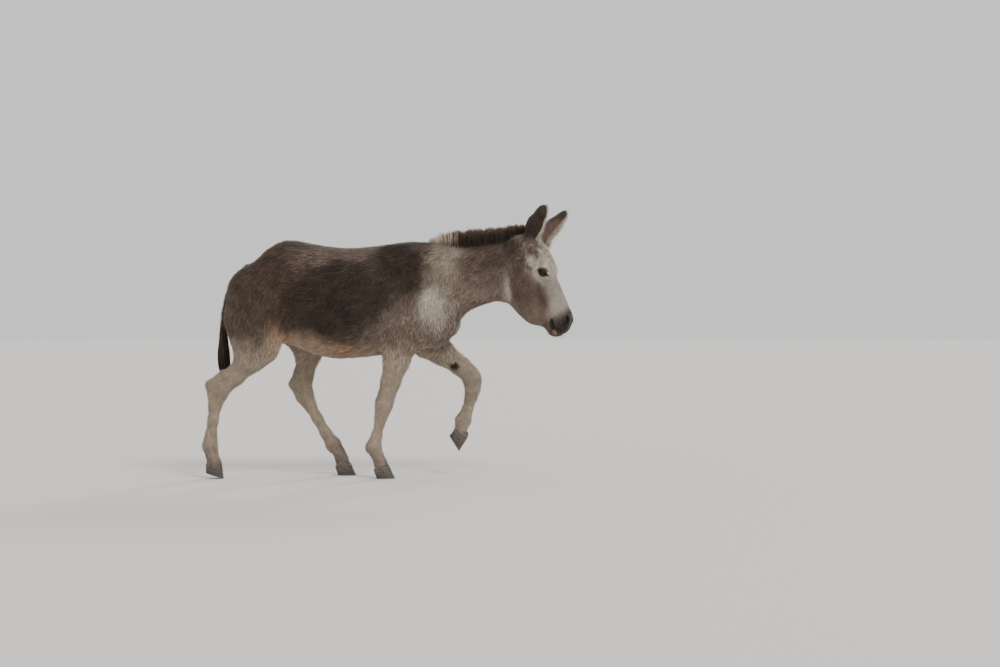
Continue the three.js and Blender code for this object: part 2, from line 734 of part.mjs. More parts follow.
const eyes = [LEFT, RIGHT].map((side) => {
  const out = orbitSurface(side) + EYE_BULGE - EYE_RADIUS;
  return fromHead(EYE.u, EYE.v, side * out);
});
let skull = stretch([], headBox, HEAD_CELL, [cuts.nape, opposite(cuts.noseBridge)]);
eyes.forEach((centre) => {
  skull = skull.subtract(toSolid(ball(centre, EYE_RADIUS + 2 * GAP)));
});
addPart('head', toGeometry(skull), COLORS.pale, COAT_ROUGHNESS);
const muzzle = stretch([], headBox, MUZZLE_CELL, [cuts.noseBridge]);
addPart('muzzle', toGeometry(muzzle), COLORS.dark, COAT_ROUGHNESS);
addPart('eye_left', ball(eyes[0], EYE_RADIUS), COLORS.eye, EYE_ROUGHNESS);
addPart('eye_right', ball(eyes[1], EYE_RADIUS), COLORS.eye, EYE_ROUGHNESS);

// ---- what grows out of the body, trimmed where it meets it ----

// Cuts a root back clear of the bodies that it grows from, by moving them up and to every side.
function clearOf(whole, bodies) {
  const shifts = [[0, 0, 0], [0, 0, 1], [0.7, 0, 0.5], [-0.7, 0, 0.5], [0, 0.7, 0.5], [0, -0.7, 0.5]];
  return bodies.reduce((part, body) => {
    return shifts.reduce((rest, [x, y, z]) => {
      const moved = toGeometry(body).translate(x * ROOT_GAP, y * ROOT_GAP, z * ROOT_GAP);
      return rest.subtract(toSolid(moved));
    }, part);
  }, whole);
}

// ---- ears: cups of gristle, open to the front, with a rounded tip ----
// [way up the ear, radius of the cup, half of the arc that it closes, set back from the axis]
const EAR = [
  [0, 0.5, 158, 0],
  [0.12, 0.5, 152, 9],
  [0.28, 0.6, 143, 21],
  [0.45, 0.84, 134, 22],
  [0.62, 0.92, 130, 19],
  [0.77, 0.78, 127, 11],
  [0.88, 0.73, 124, 8],
  [0.95, 0.56, 120, 9],
  [1, 0.26, 110, 10],
];
const EAR_STEPS = 6; // across the cup

// An ear from its root along its axis, with its mouth towards open. Furl is how much narrower
// it is rolled at its tip.
function earGeometry(root, axis, open, furl) {
  const up = new THREE.Vector3(...axis).normalize();
  const mouth = new THREE.Vector3(...open);
  mouth.addScaledVector(up, -mouth.dot(up)).normalize();
  const across = new THREE.Vector3().crossVectors(up, mouth);
  const outer = [];
  const inner = [];
  EAR.forEach(([t, size, arc, back]) => {
    const radius = size * EAR_RADIUS * (1 - furl * t);
    const wall = Math.min(EAR_WALL, radius * 0.62);
    const centre = new THREE.Vector3(...root)
      .addScaledVector(up, t * EAR_LENGTH)
      .addScaledVector(mouth, -back);
    const half = THREE.MathUtils.degToRad(arc);
    const ring = (r) => Array.from({ length: EAR_STEPS + 1 }, (_, i) => {
      const angle = THREE.MathUtils.lerp(-half, half, i / EAR_STEPS);
      return centre.clone()
        .addScaledVector(mouth, -Math.cos(angle) * r)
        .addScaledVector(across, Math.sin(angle) * r);
    });
    outer.push(ring(radius));
    inner.push(ring(radius - wall));
  });
  const rows = EAR.length;
  const columns = EAR_STEPS + 1;
  const points = [...outer.flat(), ...inner.flat()];
  const out = (r, c) => r * columns + c;
  const inn = (r, c) => rows * columns + r * columns + c;
  const index = [];
  const quad = (a, b, c, d) => index.push(a, c, b, a, d, c);
  for (let r = 0; r + 1 < rows; r += 1) {
    for (let c = 0; c < EAR_STEPS; c += 1) {
      quad(out(r, c), out(r, c + 1), out(r + 1, c + 1), out(r + 1, c));
      quad(inn(r, c + 1), inn(r, c), inn(r + 1, c), inn(r + 1, c + 1));
    }
    quad(inn(r, 0), out(r, 0), out(r + 1, 0), inn(r + 1, 0));
    quad(out(r, EAR_STEPS), inn(r, EAR_STEPS), inn(r + 1, EAR_STEPS), out(r + 1, EAR_STEPS));
  }
  for (let c = 0; c < EAR_STEPS; c += 1) {
    quad(out(0, c + 1), out(0, c), inn(0, c), inn(0, c + 1));
    quad(out(rows - 1, c), out(rows - 1, c + 1), inn(rows - 1, c + 1), inn(rows - 1, c));
  }
  const geometry = new THREE.BufferGeometry().setFromPoints(points);
  geometry.setIndex(index);
  return geometry;
}

const ears = {
  ear_right: {
    root: [661, -54, 1158], axis: [0.37, -0.16, 0.92], open: [0.95, 0.05, -0.2], furl: 0,
  },
  ear_left: {
    root: [714, 58, 1166], axis: [0.6, 0.2, 0.775], open: [0.9, 0.2, -0.4], furl: 0.32,
  },
};
Object.entries(ears).forEach(([name, { root, axis, open, furl }]) => {
  const whole = toSolid(earGeometry(root, axis, open, furl));
  const ear = clearOf(whole, [skull, neck]);
  addPart(name, toGeometry(ear), COLORS.ear, COAT_ROUGHNESS);
});

// ---- mane: an upright brush from the withers to the poll ----
// [x, root, tip], its root sunk in the crest
const MANE = [
  [150, 1160, 1198],
  [178, 1160, 1228],
  [225, 1160, 1254],
  [290, 1160, 1262],
  [400, 1164, 1273],
  [520, 1180, 1283],
  [600, 1194, 1294],
  [645, 1196, 1292],
  [668, 1196, 1262],
];
const maneRings = MANE.map(([x, low, high]) => {
  const section = [[1, 0], [0.35, 1], [-0.35, 1], [-1, 0]];
  return section.map(([side, up]) => {
    return new THREE.Vector3(x, side * MANE_HALF_WIDTH, THREE.MathUtils.lerp(low, high, up));
  });
});
const mane = clearOf(toSolid(stack(maneRings)), [trunk, neck, skull]);
addPart('mane', toGeometry(mane), COLORS.mane, COAT_ROUGHNESS);

// ---- tail: a furred dock that hangs against the buttocks, and its switch ----
// [x, z, half width, half depth]
const TAIL = [
  [-715, 1082, 26, 22],
  [-776, 1066, 30, 25],
  [-836, 1004, 29, 25],
  [-874, 920, 27, 24],
  [-893, 830, 24, 22],
  [-900, 750, 22, 20],
  [-902, 690, 27, 24],
  [-900, 630, 37, 31],
  [-896, 570, 38, 32],
  [-890, 510, 27, 25],
  [-886, 470, 9, 9],
];
const TAIL_SIDES = 10;
const tailRings = TAIL.map(([x, z, width, depth], i) => {
  const before = TAIL[Math.max(i - 1, 0)];
  const after = TAIL[Math.min(i + 1, TAIL.length - 1)];
  const tangent = new THREE.Vector3(after[0] - before[0], 0, after[1] - before[1]).normalize();
  const back = new THREE.Vector3(0, 1, 0).cross(tangent);
  return Array.from({ length: TAIL_SIDES }, (_, k) => {
    const angle = (k / TAIL_SIDES) * Math.PI * 2;
    const side = new THREE.Vector3(x, Math.sin(angle) * width, z);
    return side.addScaledVector(back, Math.cos(angle) * depth);
  });
});
const tail = clearOf(toSolid(stack(tailRings)), [trunk]);
const dockEnd = { x: -900, z: 716, nx: 0, nz: -1 };
const dock = tail.intersect(beyond(opposite(dockEnd)));
const tailSwitch = tail.intersect(beyond(dockEnd));
addPart('tail_dock', toGeometry(dock), COLORS.dark, COAT_ROUGHNESS);
addPart('tail_switch', toGeometry(tailSwitch), COLORS.mane, COAT_ROUGHNESS);

// The origin is on the floor, under the middle of the whole.
const bounds = new THREE.Box3().setFromObject(group);
const middle = bounds.getCenter(new THREE.Vector3());
group.position.set(-middle.x, -middle.y, 0);

export default group;
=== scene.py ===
import math
import bmesh
import bpy
import numpy as np
from mathutils import Matrix, Vector
from mathutils.bvhtree import BVHTree
from mathutils.kdtree import KDTree


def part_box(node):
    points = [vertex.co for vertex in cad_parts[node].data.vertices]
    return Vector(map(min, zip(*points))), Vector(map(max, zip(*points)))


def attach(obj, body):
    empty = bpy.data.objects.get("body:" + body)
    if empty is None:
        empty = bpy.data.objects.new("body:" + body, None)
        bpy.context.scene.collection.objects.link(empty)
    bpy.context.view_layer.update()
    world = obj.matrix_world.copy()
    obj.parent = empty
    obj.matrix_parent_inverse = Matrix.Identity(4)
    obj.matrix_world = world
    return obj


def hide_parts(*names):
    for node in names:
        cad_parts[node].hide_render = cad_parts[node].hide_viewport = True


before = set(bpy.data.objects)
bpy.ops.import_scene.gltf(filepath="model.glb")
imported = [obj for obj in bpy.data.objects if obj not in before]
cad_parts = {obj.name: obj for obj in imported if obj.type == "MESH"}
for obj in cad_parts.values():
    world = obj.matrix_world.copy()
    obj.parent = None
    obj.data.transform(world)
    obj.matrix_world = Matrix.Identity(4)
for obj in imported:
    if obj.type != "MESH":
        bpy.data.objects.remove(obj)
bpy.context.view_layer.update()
dice = np.random.default_rng(41)

# the body is described in its own millimetres, the head in its own axes
measure = {
    "shift": (54.7305, -1.2376, 0.0),  # from the body's own place to the frame's
    "pivotX": 640.0,  # upright axis that the head turns about
    "yaw": math.radians(13.0),
    "tilt": math.radians(64.7),
    "pollX": 618.0,
    "pollZ": 1200.0,
    "eyeU": 200.0,
    "eyeV": 52.0,
}
cosYaw, sinYaw = math.cos(measure["yaw"]), math.sin(measure["yaw"])
cosTilt, sinTilt = math.cos(measure["tilt"]), math.sin(measure["tilt"])


def toBody(points):
    return np.asarray(points, float) * 1000.0 - measure["shift"]


def toFrame(points):
    return (np.asarray(points, float) + measure["shift"]) / 1000.0


def toHead(body):
    # u runs down the face, v from jaw to forehead, w out to the left
    dx = body[:, 0] - measure["pivotX"]
    dy = body[:, 1]
    straight = dx * cosYaw - dy * sinYaw + measure["pivotX"] - measure["pollX"]
    up = body[:, 2] - measure["pollZ"]
    u = straight * cosTilt - up * sinTilt
    v = straight * sinTilt + up * cosTilt
    return u, v, dx * sinYaw + dy * cosYaw


def headTurn(u, v, w):
    # a direction in the head's axes, as one in the frame
    u, v, w = np.broadcast_arrays(np.asarray(u, float), v, w)
    straight = u * cosTilt + v * sinTilt
    up = -u * sinTilt + v * cosTilt
    return np.stack([straight * cosYaw + w * sinYaw, -straight * sinYaw + w * cosYaw, up], axis=-1)


def smooth(low, high, x):
    t = np.clip((np.asarray(x, float) - low) / (high - low), 0.0, 1.0)
    return t * t * (3.0 - 2.0 * t)


def swell(x, wide):
    # 1 at nought, falling away smoothly over about that width
    return np.exp(-(x / wide) ** 2)


def unit(vectors):
    return vectors / np.maximum(np.linalg.norm(vectors, axis=-1, keepdims=True), 1e-9)


def vary(amount, spread, low, high):
    # random factors round 1, kept between low and high
    return np.clip(dice.normal(1, spread, amount), low, high)


axisKeys = np.array([73856093, 19349663, 83492791])
seedKey, mixKey, lowBits = 2654435761, 1274126177, 65535


def cloud(points, size, seed):
    # soft value noise in 0 to 1 with blobs of about that size
    p = points / size
    cell = np.floor(p).astype(np.int64)
    f = p - cell
    f = f * f * (3.0 - 2.0 * f)
    total = np.zeros(len(points))
    for corner in range(8):
        step = np.array([corner & 1, (corner >> 1) & 1, corner >> 2])
        key = (cell + step) * axisKeys
        mixed = key[:, 0] ^ key[:, 1] ^ key[:, 2] ^ (seed * seedKey)
        mixed = (mixed ^ (mixed >> 13)) * mixKey
        value = ((mixed ^ (mixed >> 16)) & lowBits) / lowBits
        total += value * np.prod(np.where(step, f, 1.0 - f), axis=1)
    return total


# the form of the body is a field: negative inside, positive outside
def along(rows, s):
    # smooth values between the rows of a table, by the place s in its first column
    rows = np.array(rows, float)
    last = len(rows) - 1
    s = np.clip(s, rows[0, 0], rows[last, 0])
    i = np.clip(np.searchsorted(rows[:, 0], s, side="left") - 1, 0, last - 1)
    before, start = rows[np.maximum(i - 1, 0)], rows[i]
    end, after = rows[i + 1], rows[np.minimum(i + 2, last)]
    span = end[:, 0] - start[:, 0]
    t = ((s - start[:, 0]) / span)[:, None]
    slopeIn = (end[:, 1:] - before[:, 1:]) * (span / (end[:, 0] - before[:, 0]))[:, None]
    slopeOut = (after[:, 1:] - start[:, 1:]) * (span / (after[:, 0] - start[:, 0]))[:, None]
    t2, t3 = t * t, t * t * t
    value = start[:, 1:] * (2 * t3 - 3 * t2 + 1) + slopeIn * (t3 - 2 * t2 + t)
    return (value + end[:, 1:] * (3 * t2 - 2 * t3) + slopeOut * (t3 - t2)).T


def loft(rows, s, height, side):
    low, high, width, taper, square = along(rows, s)
    half = np.maximum((high - low) / 2, 1.0)
    v = (height - (low + high) / 2) / half
    lean = 1 - taper * np.clip(v, -1.2, 1.2)
    w = np.abs(side) / np.maximum(width * lean, 1.0)
    ring = (w ** square + np.abs(v) ** square) ** (1 / square)
    section = (ring - 1) * np.minimum(half, np.maximum(width, 1.0))
    return np.maximum(section, np.maximum(rows[0][0] - s, s - rows[-1][0]))


def blend(a, b, soft):
    h = np.maximum(soft - np.abs(a - b), 0) / soft
    return np.minimum(a, b) - h * h * soft / 4


def hollow(a, b, soft):
    return -blend(-a, b, soft)


def limb(joints, x, y, z, soft=18.0):
    nearest = None
    for (ax, ay, az, ar, aw), (bx, by, bz, br, bw) in zip(joints, joints[1:]):
        dx, dy, dz = bx - ax, by - ay, bz - az
        reach = (x - ax) * dx + (y - ay) * dy + (z - az) * dz
        t = np.clip(reach / (dx * dx + dy * dy + dz * dz), 0, 1)
        width = aw + (bw - aw) * t
        across = (y - ay - dy * t) / width
        far = np.sqrt((x - ax - dx * t) ** 2 + across ** 2 + (z - az - dz * t) ** 2)
        distance = (far - ar - (br - ar) * t) * np.minimum(1, width)
        nearest = distance if nearest is None else blend(nearest, distance, soft)
    return nearest


def lump(centre, radii, x, y, z):
    k = np.sqrt(sum(((q - c) / r) ** 2 for q, c, r in zip((x, y, z), centre, radii)))
    return (k - 1) * min(radii)


# rows of x, underline, topline, half width, taper, squareness
torsoRows = [
    (-828, 860, 885, 8, 0, 2), (-814, 790, 950, 62, 0.05, 2.1), (-784, 735, 1022, 98, 0.1, 2.2),
    (-740, 704, 1096, 130, 0.14, 2.3), (-690, 694, 1154, 150, 0.18, 2.3), (-610, 690, 1203, 176, 0.16, 2.3),
    (-540, 668, 1211, 196, 0.12, 2.2), (-440, 628, 1193, 214, 0.07, 2.15), (-340, 604, 1177, 221, 0.07, 2.1),
    (-230, 606, 1172, 214, 0.1, 2.1), (-110, 618, 1184, 190, 0.18, 2.1), (0, 634, 1200, 164, 0.3, 2.1),
    (90, 646, 1206, 144, 0.38, 2.1), (180, 664, 1203, 126, 0.38, 2.1), (245, 700, 1196, 110, 0.3, 2.1),
    (290, 764, 1191, 100, 0.24, 2.1), (340, 830, 1186, 91, 0.22, 2.1), (410, 868, 1190, 83, 0.24, 2.1),
    (510, 900, 1208, 74, 0.26, 2.1), (600, 930, 1228, 66, 0.2, 2.1), (655, 960, 1226, 56, 0.1, 2.1),
]
# rows of way down the face, jaw edge, face edge, half width, taper, squareness
headRows = [
    (-42, -52, 6, 20, 0, 2), (-22, -90, 44, 52, 0, 2.1), (10, -114, 74, 68, -0.02, 2.2),
    (50, -132, 98, 74, -0.04, 2.3), (90, -150, 113, 77, -0.02, 2.4), (135, -167, 117, 80, -0.04, 2.4),
    (178, -184, 113, 80, -0.1, 2.4), (215, -198, 101, 77, -0.1, 2.3), (250, -193, 92, 70, -0.04, 2.3),
    (300, -181, 91, 60, 0.04, 2.4), (350, -163, 88, 52, 0.1, 2.4), (400, -136, 86, 48, 0.08, 2.3),
    (440, -86, 84, 49, 0.02, 2.2), (468, -67, 70, 50, 0, 2.2), (492, -62, 46, 44, 0, 2.2),
    (509, -51, 18, 32, 0, 2.1), (519, -36, -12, 10, 0, 2),
]
earFrames = {
    "ear_right": {"root": (661, -54, 1158), "axis": (0.37, -0.16, 0.92), "open": (0.95, 0.05, -0.2),
                  "furl": 0.0},
    "ear_left": {"root": (714, 58, 1166), "axis": (0.6, 0.2, 0.775), "open": (0.9, 0.2, -0.4),
                 "furl": 0.32},  # how much narrower it is rolled at its tip
}
earSettings = {
    "length": 242.0, "radius": 44.0, "wall": 11.0, "reach": 62.0,
    "way": (0, 0.12, 0.28, 0.45, 0.62, 0.77, 0.88, 0.95, 1),
    "size": (0.5, 0.5, 0.6, 0.84, 0.92, 0.78, 0.73, 0.56, 0.26),
    "arc": (158, 152, 143, 134, 130, 127, 124, 120, 110),
    "setBack": (0, 9, 21, 22, 19, 11, 8, 9, 10),
    "broadAt": (15, 60, 130, 200, 245), "broad": (0.0, 0.08, 0.19, 0.22, 0.10),
    # how far the front and rear edges of each ear stand out on the way up it
    "edgeAt": (15, 45, 75, 125, 175, 220),
    "front": {"ear_right": (0, 5, 14, 12, 2, 0), "ear_left": (0, 0, -5, -10, -8, 0)},
    "rear": {"ear_right": (0, 5, 7, 4, 0, 0), "ear_left": (0, 0, 0, 0, 0, 0)},
    "rimHairs": 1000, "fluff": 700,
}
# joints of x, y, z, radius fore and aft, width ratio
legJoints = {
    "foreRight": [
        (18, -114, 690, 74, 0.66), (-14, -112, 590, 66, 0.66), (-42, -109, 490, 52, 0.74),
        (-62, -107, 425, 44, 0.86), (-76, -106, 378, 47, 0.84), (-86, -106, 335, 37, 0.86),
        (-97, -107, 290, 29, 0.8), (-114, -107, 215, 28, 0.82), (-128, -108, 160, 38, 0.86),
        (-108, -108, 112, 30, 0.92), (-93, -108, 74, 34, 0.95), (-90, -108, 50, 33, 0.95)],
    "foreLeft": [
        (134, 112, 686, 78, 0.62), (219, 110, 631, 67, 0.64), (307, 106, 563, 52, 0.74),
        (354, 104, 522, 46, 0.84), (368, 104, 492, 48, 0.82), (371, 105, 446, 40, 0.84),
        (361, 106, 402, 33, 0.8), (342, 108, 336, 29, 0.82), (324, 110, 284, 39, 0.84),
        (310, 110, 238, 30, 0.92), (301, 110, 206, 35, 0.95), (296, 110, 186, 35, 0.95)],
    "hindRight": [
        (-690, -128, 662, 74, 0.62), (-752, -122, 604, 70, 0.66), (-832, -114, 518, 51, 0.74),
        (-896, -109, 462, 46, 0.78), (-922, -108, 420, 46, 0.72), (-932, -108, 370, 34, 0.8),
        (-942, -108, 296, 29, 0.84), (-952, -108, 222, 30, 0.84), (-956, -108, 168, 38, 0.84),
        (-946, -108, 118, 31, 0.92), (-938, -108, 82, 34, 0.95), (-935, -108, 60, 34, 0.95)],
    "hindLeft": [
        (-462, 128, 722, 80, 0.62), (-478, 122, 628, 68, 0.66), (-496, 114, 520, 48, 0.74),
        (-504, 109, 452, 45, 0.78), (-494, 108, 408, 46, 0.72), (-470, 108, 362, 34, 0.8),
        (-430, 108, 292, 29, 0.84), (-388, 108, 218, 30, 0.84), (-348, 108, 160, 38, 0.84),
        (-318, 108, 116, 31, 0.92), (-303, 108, 76, 34, 0.95), (-300, 108, 54, 33, 0.95)],
}
hockJoints = {
    "hindRight": [(-914, -108, 430, 34, 0.7), (-958, -108, 476, 23, 0.72), (-896, -112, 536, 17, 0.7)],
    "hindLeft": [(-506, 108, 424, 34, 0.7), (-556, 108, 470, 23, 0.72), (-532, 110, 536, 17, 0.7)],
}


def torsoField(x, y, z):
    d = loft(torsoRows, x, z, y)
    side = np.where(y < 0, -1.0, 1.0)
    forward = np.where(y < 0, 0.0, 104.0)
    blade = [(55, side * 58, 1110, 62, 0.5), (120 + forward * 0.3, side * 92, 940, 92, 0.5),
             (196 + forward * 0.15, side * 106, 790, 84, 0.55)]
    arm = [(196 + forward * 0.15, side * 106, 790, 78, 0.6), (20 + forward, side * 112, 706, 66, 0.7)]
    triceps = [(-35 + forward * 0.2, side * 96, 935, 86, 0.55), (forward * 0.9, side * 116, 742, 66, 0.62)]
    front = blend(limb(blade, x, y, z, 40), limb(arm, x, y, z), 40)
    d = blend(d, blend(front, limb(triceps, x, y, z), 45), 45)
    hipX, hipZ = np.where(y < 0, -712.0, -668.0), np.where(y < 0, 950.0, 955.0)
    kneeX, kneeZ = np.where(y < 0, -690.0, -462.0), np.where(y < 0, 662.0, 722.0)
    thigh = [(hipX, side * 92, hipZ, 142, 0.66), (kneeX - 20, side * 118, kneeZ + 60, 104, 0.6),
             (kneeX, side * 128, kneeZ, 70, 0.62)]
    hamstring = [(hipX - 68, side * 78, hipZ - 10, 84, 0.72),
                 ((hipX + kneeX) / 2 - 88, side * 100, (hipZ + kneeZ) / 2, 84, 0.66),
                 (kneeX - 84, side * 114, kneeZ + 8, 62, 0.62)]
    haunch = blend(limb(thigh, x, y, z, 40), limb(hamstring, x, y, z, 40), 50)
    haunch = blend(haunch, lump((-505, side * 148, 1098), (62, 40, 52), x, y, z), 60)
    d = blend(d, haunch, 55)
    out = np.abs(y)
    d = blend(d, lump((214, 46, 760), (76, 56, 78), x, out, z), 40)
    d = hollow(d, lump((-560, 232, 900), (70, 44, 120), x, out, z), 60)
    return hollow(d, lump((520, 96, 985), (120, 34, 60), x, out, z), 40)


# middle, radii and softness: cheek, eye socket, brow, cheekbone, nostril, lips, chin, poll
headLumps = [
    ((196, -84, 46), (96, 92, 38), 26), ((200, 46, 66), (40, 34, 28), 30),
    ((182, 70, 70), (44, 30, 25), 26), ((300, 8, 44), (70, 16, 22), 26),
    ((456, 42, 36), (34, 30, 21), 22), ((488, 6, 18), (30, 34, 34), 22),
    ((468, -42, 12), (36, 26, 34), 18), ((28, 36, 56), (48, 46, 32), 30),
]


def headField(x, y, z):
    u, v, w = toHead(np.stack([x, y, z], axis=1))
    out = np.abs(w)
    d = loft(headRows, u, v, w)
    for centre, radii, soft in headLumps:
        d = blend(d, lump(centre, radii, u, v, out), soft)
    d = hollow(d, lump((120, 34, 92), (44, 26, 20), u, v, out), 24)
    return hollow(d, lump((376, 44, 74), (70, 26, 24), u, v, out), 30)


def bodyField(p):
    x, y, z = p[:, 0], p[:, 1], p[:, 2]
    d = blend(torsoField(x, y, z), headField(x, y, z), 28)
    for name, joints in legJoints.items():
        bones = limb(joints, x, y, z)
        if name in hockJoints:
            bones = blend(bones, limb(hockJoints[name], x, y, z), 22)
        d = blend(d, bones, 34)
    return d


def drawOnto(p, weight, rounds=3, most=9.0):
    # moves points down the slope of the field onto its surface
    for _ in range(rounds):
        value = bodyField(p)
        slope = np.stack([bodyField(p + step) - value for step in np.eye(3)], axis=1)
        size = np.maximum((slope ** 2).sum(axis=1), 0.05)
        move = -value / size
        step = slope * move[:, None]
        far = np.maximum(np.linalg.norm(step, axis=1, keepdims=True) / most, 1.0)
        p = p + step / far * weight[:, None]
    return p


def addObject(name, data):
    piece = bpy.data.objects.new(name, data)
    bpy.context.scene.collection.objects.link(piece)
    return piece


def takeMesh(bm, name, rounded=False):
    # the finished bmesh as a mesh
    if rounded:
        for face in bm.faces:
            face.smooth = True
    mesh = bpy.data.meshes.new(name)
    bm.to_mesh(mesh)
    bm.free()
    return mesh


def meshArrays(mesh):
    co = np.empty(len(mesh.vertices) * 3)
    mesh.vertices.foreach_get("co", co)
    mesh.calc_loop_triangles()
    tris = np.empty(len(mesh.loop_triangles) * 3, dtype=np.int64)
    mesh.loop_triangles.foreach_get("vertices", tris)
    return co.reshape(-1, 3), tris.reshape(-1, 3)


def vertexNormals(co, tris):
    a, b, c = co[tris[:, 0]], co[tris[:, 1]], co[tris[:, 2]]
    face = np.cross(b - a, c - a)
    total = np.zeros_like(co)
    for corner in range(3):
        for axis in range(3):
            total[:, axis] += np.bincount(tris[:, corner], face[:, axis], len(co))
    return unit(total)


def relax(co, tris, share, rounds):
    # draws each point towards the middle of its neighbours
    pairs = np.concatenate([tris[:, [0, 1]], tris[:, [1, 2]], tris[:, [2, 0]]])
    i, j = np.unique(np.sort(pairs, axis=1), axis=0).T
    count = np.bincount(i, minlength=len(co)) + np.bincount(j, minlength=len(co))
    share = np.broadcast_to(share, len(co))[:, None]
    for _ in range(rounds):
        mean = np.empty_like(co)
        for axis in range(3):
            mean[:, axis] = np.bincount(i, co[j, axis], len(co)) + np.bincount(j, co[i, axis], len(co))
        mean /= np.maximum(count, 1)[:, None]
        co = co + (mean - co) * share
    return co


def buildMesh(name, co, tris, colors, uv, cornerNormals=None):
    mesh = bpy.data.meshes.new(name)
    mesh.vertices.add(len(co))
    mesh.vertices.foreach_set("co", np.ascontiguousarray(co, np.float32).ravel())
    mesh.loops.add(len(tris) * 3)
    mesh.loops.foreach_set("vertex_index", np.ascontiguousarray(tris, np.int32).ravel())
    mesh.polygons.add(len(tris))
    mesh.polygons.foreach_set("loop_start", np.arange(0, len(tris) * 3, 3, dtype=np.int32))
    mesh.update(calc_edges=True)
    mesh.polygons.foreach_set("use_smooth", np.ones(len(tris), bool))
    layer = mesh.attributes.new("coatColor", "FLOAT_COLOR", "POINT")
    full = np.concatenate([colors, np.ones((len(co), 1))], axis=1)
    layer.data.foreach_set("color", full.astype(np.float32).ravel())
    layer = mesh.uv_layers.new(name="OFBake")
    layer.uv.foreach_set("vector", uv.astype(np.float32).ravel())
    if cornerNormals is not None:
        mesh.normals_split_custom_set(cornerNormals.reshape(-1, 3).astype(np.float32))
    return addObject(name, mesh)


def finishPiece(piece, material, nodes=()):
    piece.data.materials.clear()
    piece.data.materials.append(material)
    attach(piece, "root")
    if nodes:
        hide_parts(*nodes)
    return piece


def bakedDown(piece):
    # the piece's mesh with its modifiers in it
    graph = bpy.context.evaluated_depsgraph_get()
    mesh = bpy.data.meshes.new_from_object(piece.evaluated_get(graph))
    piece.modifiers.clear()
    piece.data = mesh
    return piece


# the skin is one closed form out of all the flesh, drawn in by the depth of the coat
skinSettings = {
    "closing": 0.0012,  # how far the parts swell so that the cuts between them close
    "voxel": 0.0043,
    "keep": 0.34,  # share of the faces left after thinning, all of the head's among them
    "nearEar": 26.0, "nearTail": 20.0,  # how far round an ear or the dock the skin stays loose
    "loose": (0.05, 0.75),
    "aroundEye": 40.0, "muzzleFrom": 418.0,  # where the faces are made finer
}
fleshNames = [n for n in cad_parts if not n.startswith(("eye", "hoof", "mane", "tail_switch"))]


def nearnessTo(names, points, reach):
    # 1 on the named nodes, falling to 0 at reach millimetres from them
    near = np.zeros(len(points))
    for name in names:
        low, high = (np.array(c) - reach / 1000 * s for c, s in zip(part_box(name), (1, -1)))
        ids = np.nonzero(((points > low) & (points < high)).all(axis=1))[0]
        bm = bmesh.new()
        bm.from_mesh(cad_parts[name].data)
        tree = BVHTree.FromBMesh(bm)
        bm.free()
        for i in ids:
            hit = tree.find_nearest(Vector(points[i]), reach / 1000)
            if hit[0] is not None:
                near[i] = max(near[i], 1 - hit[3] * 1000 / reach)
    return near


def nearThinParts(points):
    return (nearnessTo(["ear_left", "ear_right"], points, skinSettings["nearEar"]),
            nearnessTo(["tail_dock"], points, skinSettings["nearTail"]))


def closedFlesh():
    bm = bmesh.new()
    for name in fleshNames:
        bm.from_mesh(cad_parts[name].data)
    bmesh.ops.remove_doubles(bm, verts=bm.verts, dist=1e-6)
    bm.normal_update()
    for vert in bm.verts:
        vert.co += vert.normal * skinSettings["closing"]
    piece = addObject("skin", takeMesh(bm, "skin"))
    closing = piece.modifiers.new("close", "REMESH")
    closing.mode = "VOXEL"
    closing.voxel_size = skinSettings["voxel"]
    return bakedDown(piece)


def shareOfHead(body):
    # 0 on the neck, 1 on the head, across a slanting cut behind the jaw
    past = (body[:, 0] - 562) * 0.962 - (body[:, 2] - 1072) * 0.273
    return smooth(-45, 30, past) * smooth(560, 640, body[:, 2])


def makeSkin():
    piece = closedFlesh()
    co, tris = meshArrays(piece.data)
    print("skin closed:", len(tris), "faces")
    loose = np.maximum(*nearThinParts(co))
    firm = 1 - smooth(*skinSettings["loose"], loose)
    co = relax(co, tris, 0.12 + 0.38 * firm, 6)
    body = drawOnto(toBody(co), firm)
    co = toFrame(relax(body, tris, 0.1 + 0.3 * firm, 2))
    piece.data.vertices.foreach_set("co", co.astype(np.float32).ravel())
    head = shareOfHead(toBody(co))
    coarse = np.where((head > 0.3) | (loose > 0.6), 0.0, 1.0)
    group = piece.vertex_groups.new(name="thin")
    group.add(np.nonzero(coarse > 0.5)[0].tolist(), 1.0, "REPLACE")
    group.add(np.nonzero(coarse <= 0.5)[0].tolist(), 0.0, "REPLACE")
    thin = piece.modifiers.new("thin", "DECIMATE")
    thin.ratio = skinSettings["keep"]
    thin.vertex_group = "thin"
    thin.vertex_group_factor = 20.0
    piece = bakedDown(piece)
    piece.vertex_groups.clear()
    # finer faces round the eyes, the nostrils and the lips
    bm = bmesh.new()
    bm.from_mesh(piece.data)
    bmesh.ops.triangulate(bm, faces=bm.faces)
    places = toBody(np.array([v.co for v in bm.verts]))
    u, v, w = toHead(places)
    isHead = shareOfHead(places) > 0.5
    nearEye = np.hypot(u - measure["eyeU"], v - measure["eyeV"]) < skinSettings["aroundEye"]
    fine = isHead & ((nearEye & (np.abs(w) > 40)) | (u > skinSettings["muzzleFrom"]))
    bm.edges.ensure_lookup_table()
    edges = [e for e in bm.edges if fine[e.verts[0].index] and fine[e.verts[1].index]]
    bmesh.ops.subdivide_edges(bm, edges=edges, cuts=1, use_grid_fill=True)
    bmesh.ops.triangulate(bm, faces=bm.faces)
    bm.to_mesh(piece.data)
    bm.free()
    co, tris = meshArrays(piece.data)
    print("skin thinned:", len(tris), "faces")
    bpy.data.objects.remove(piece)
    return co, tris


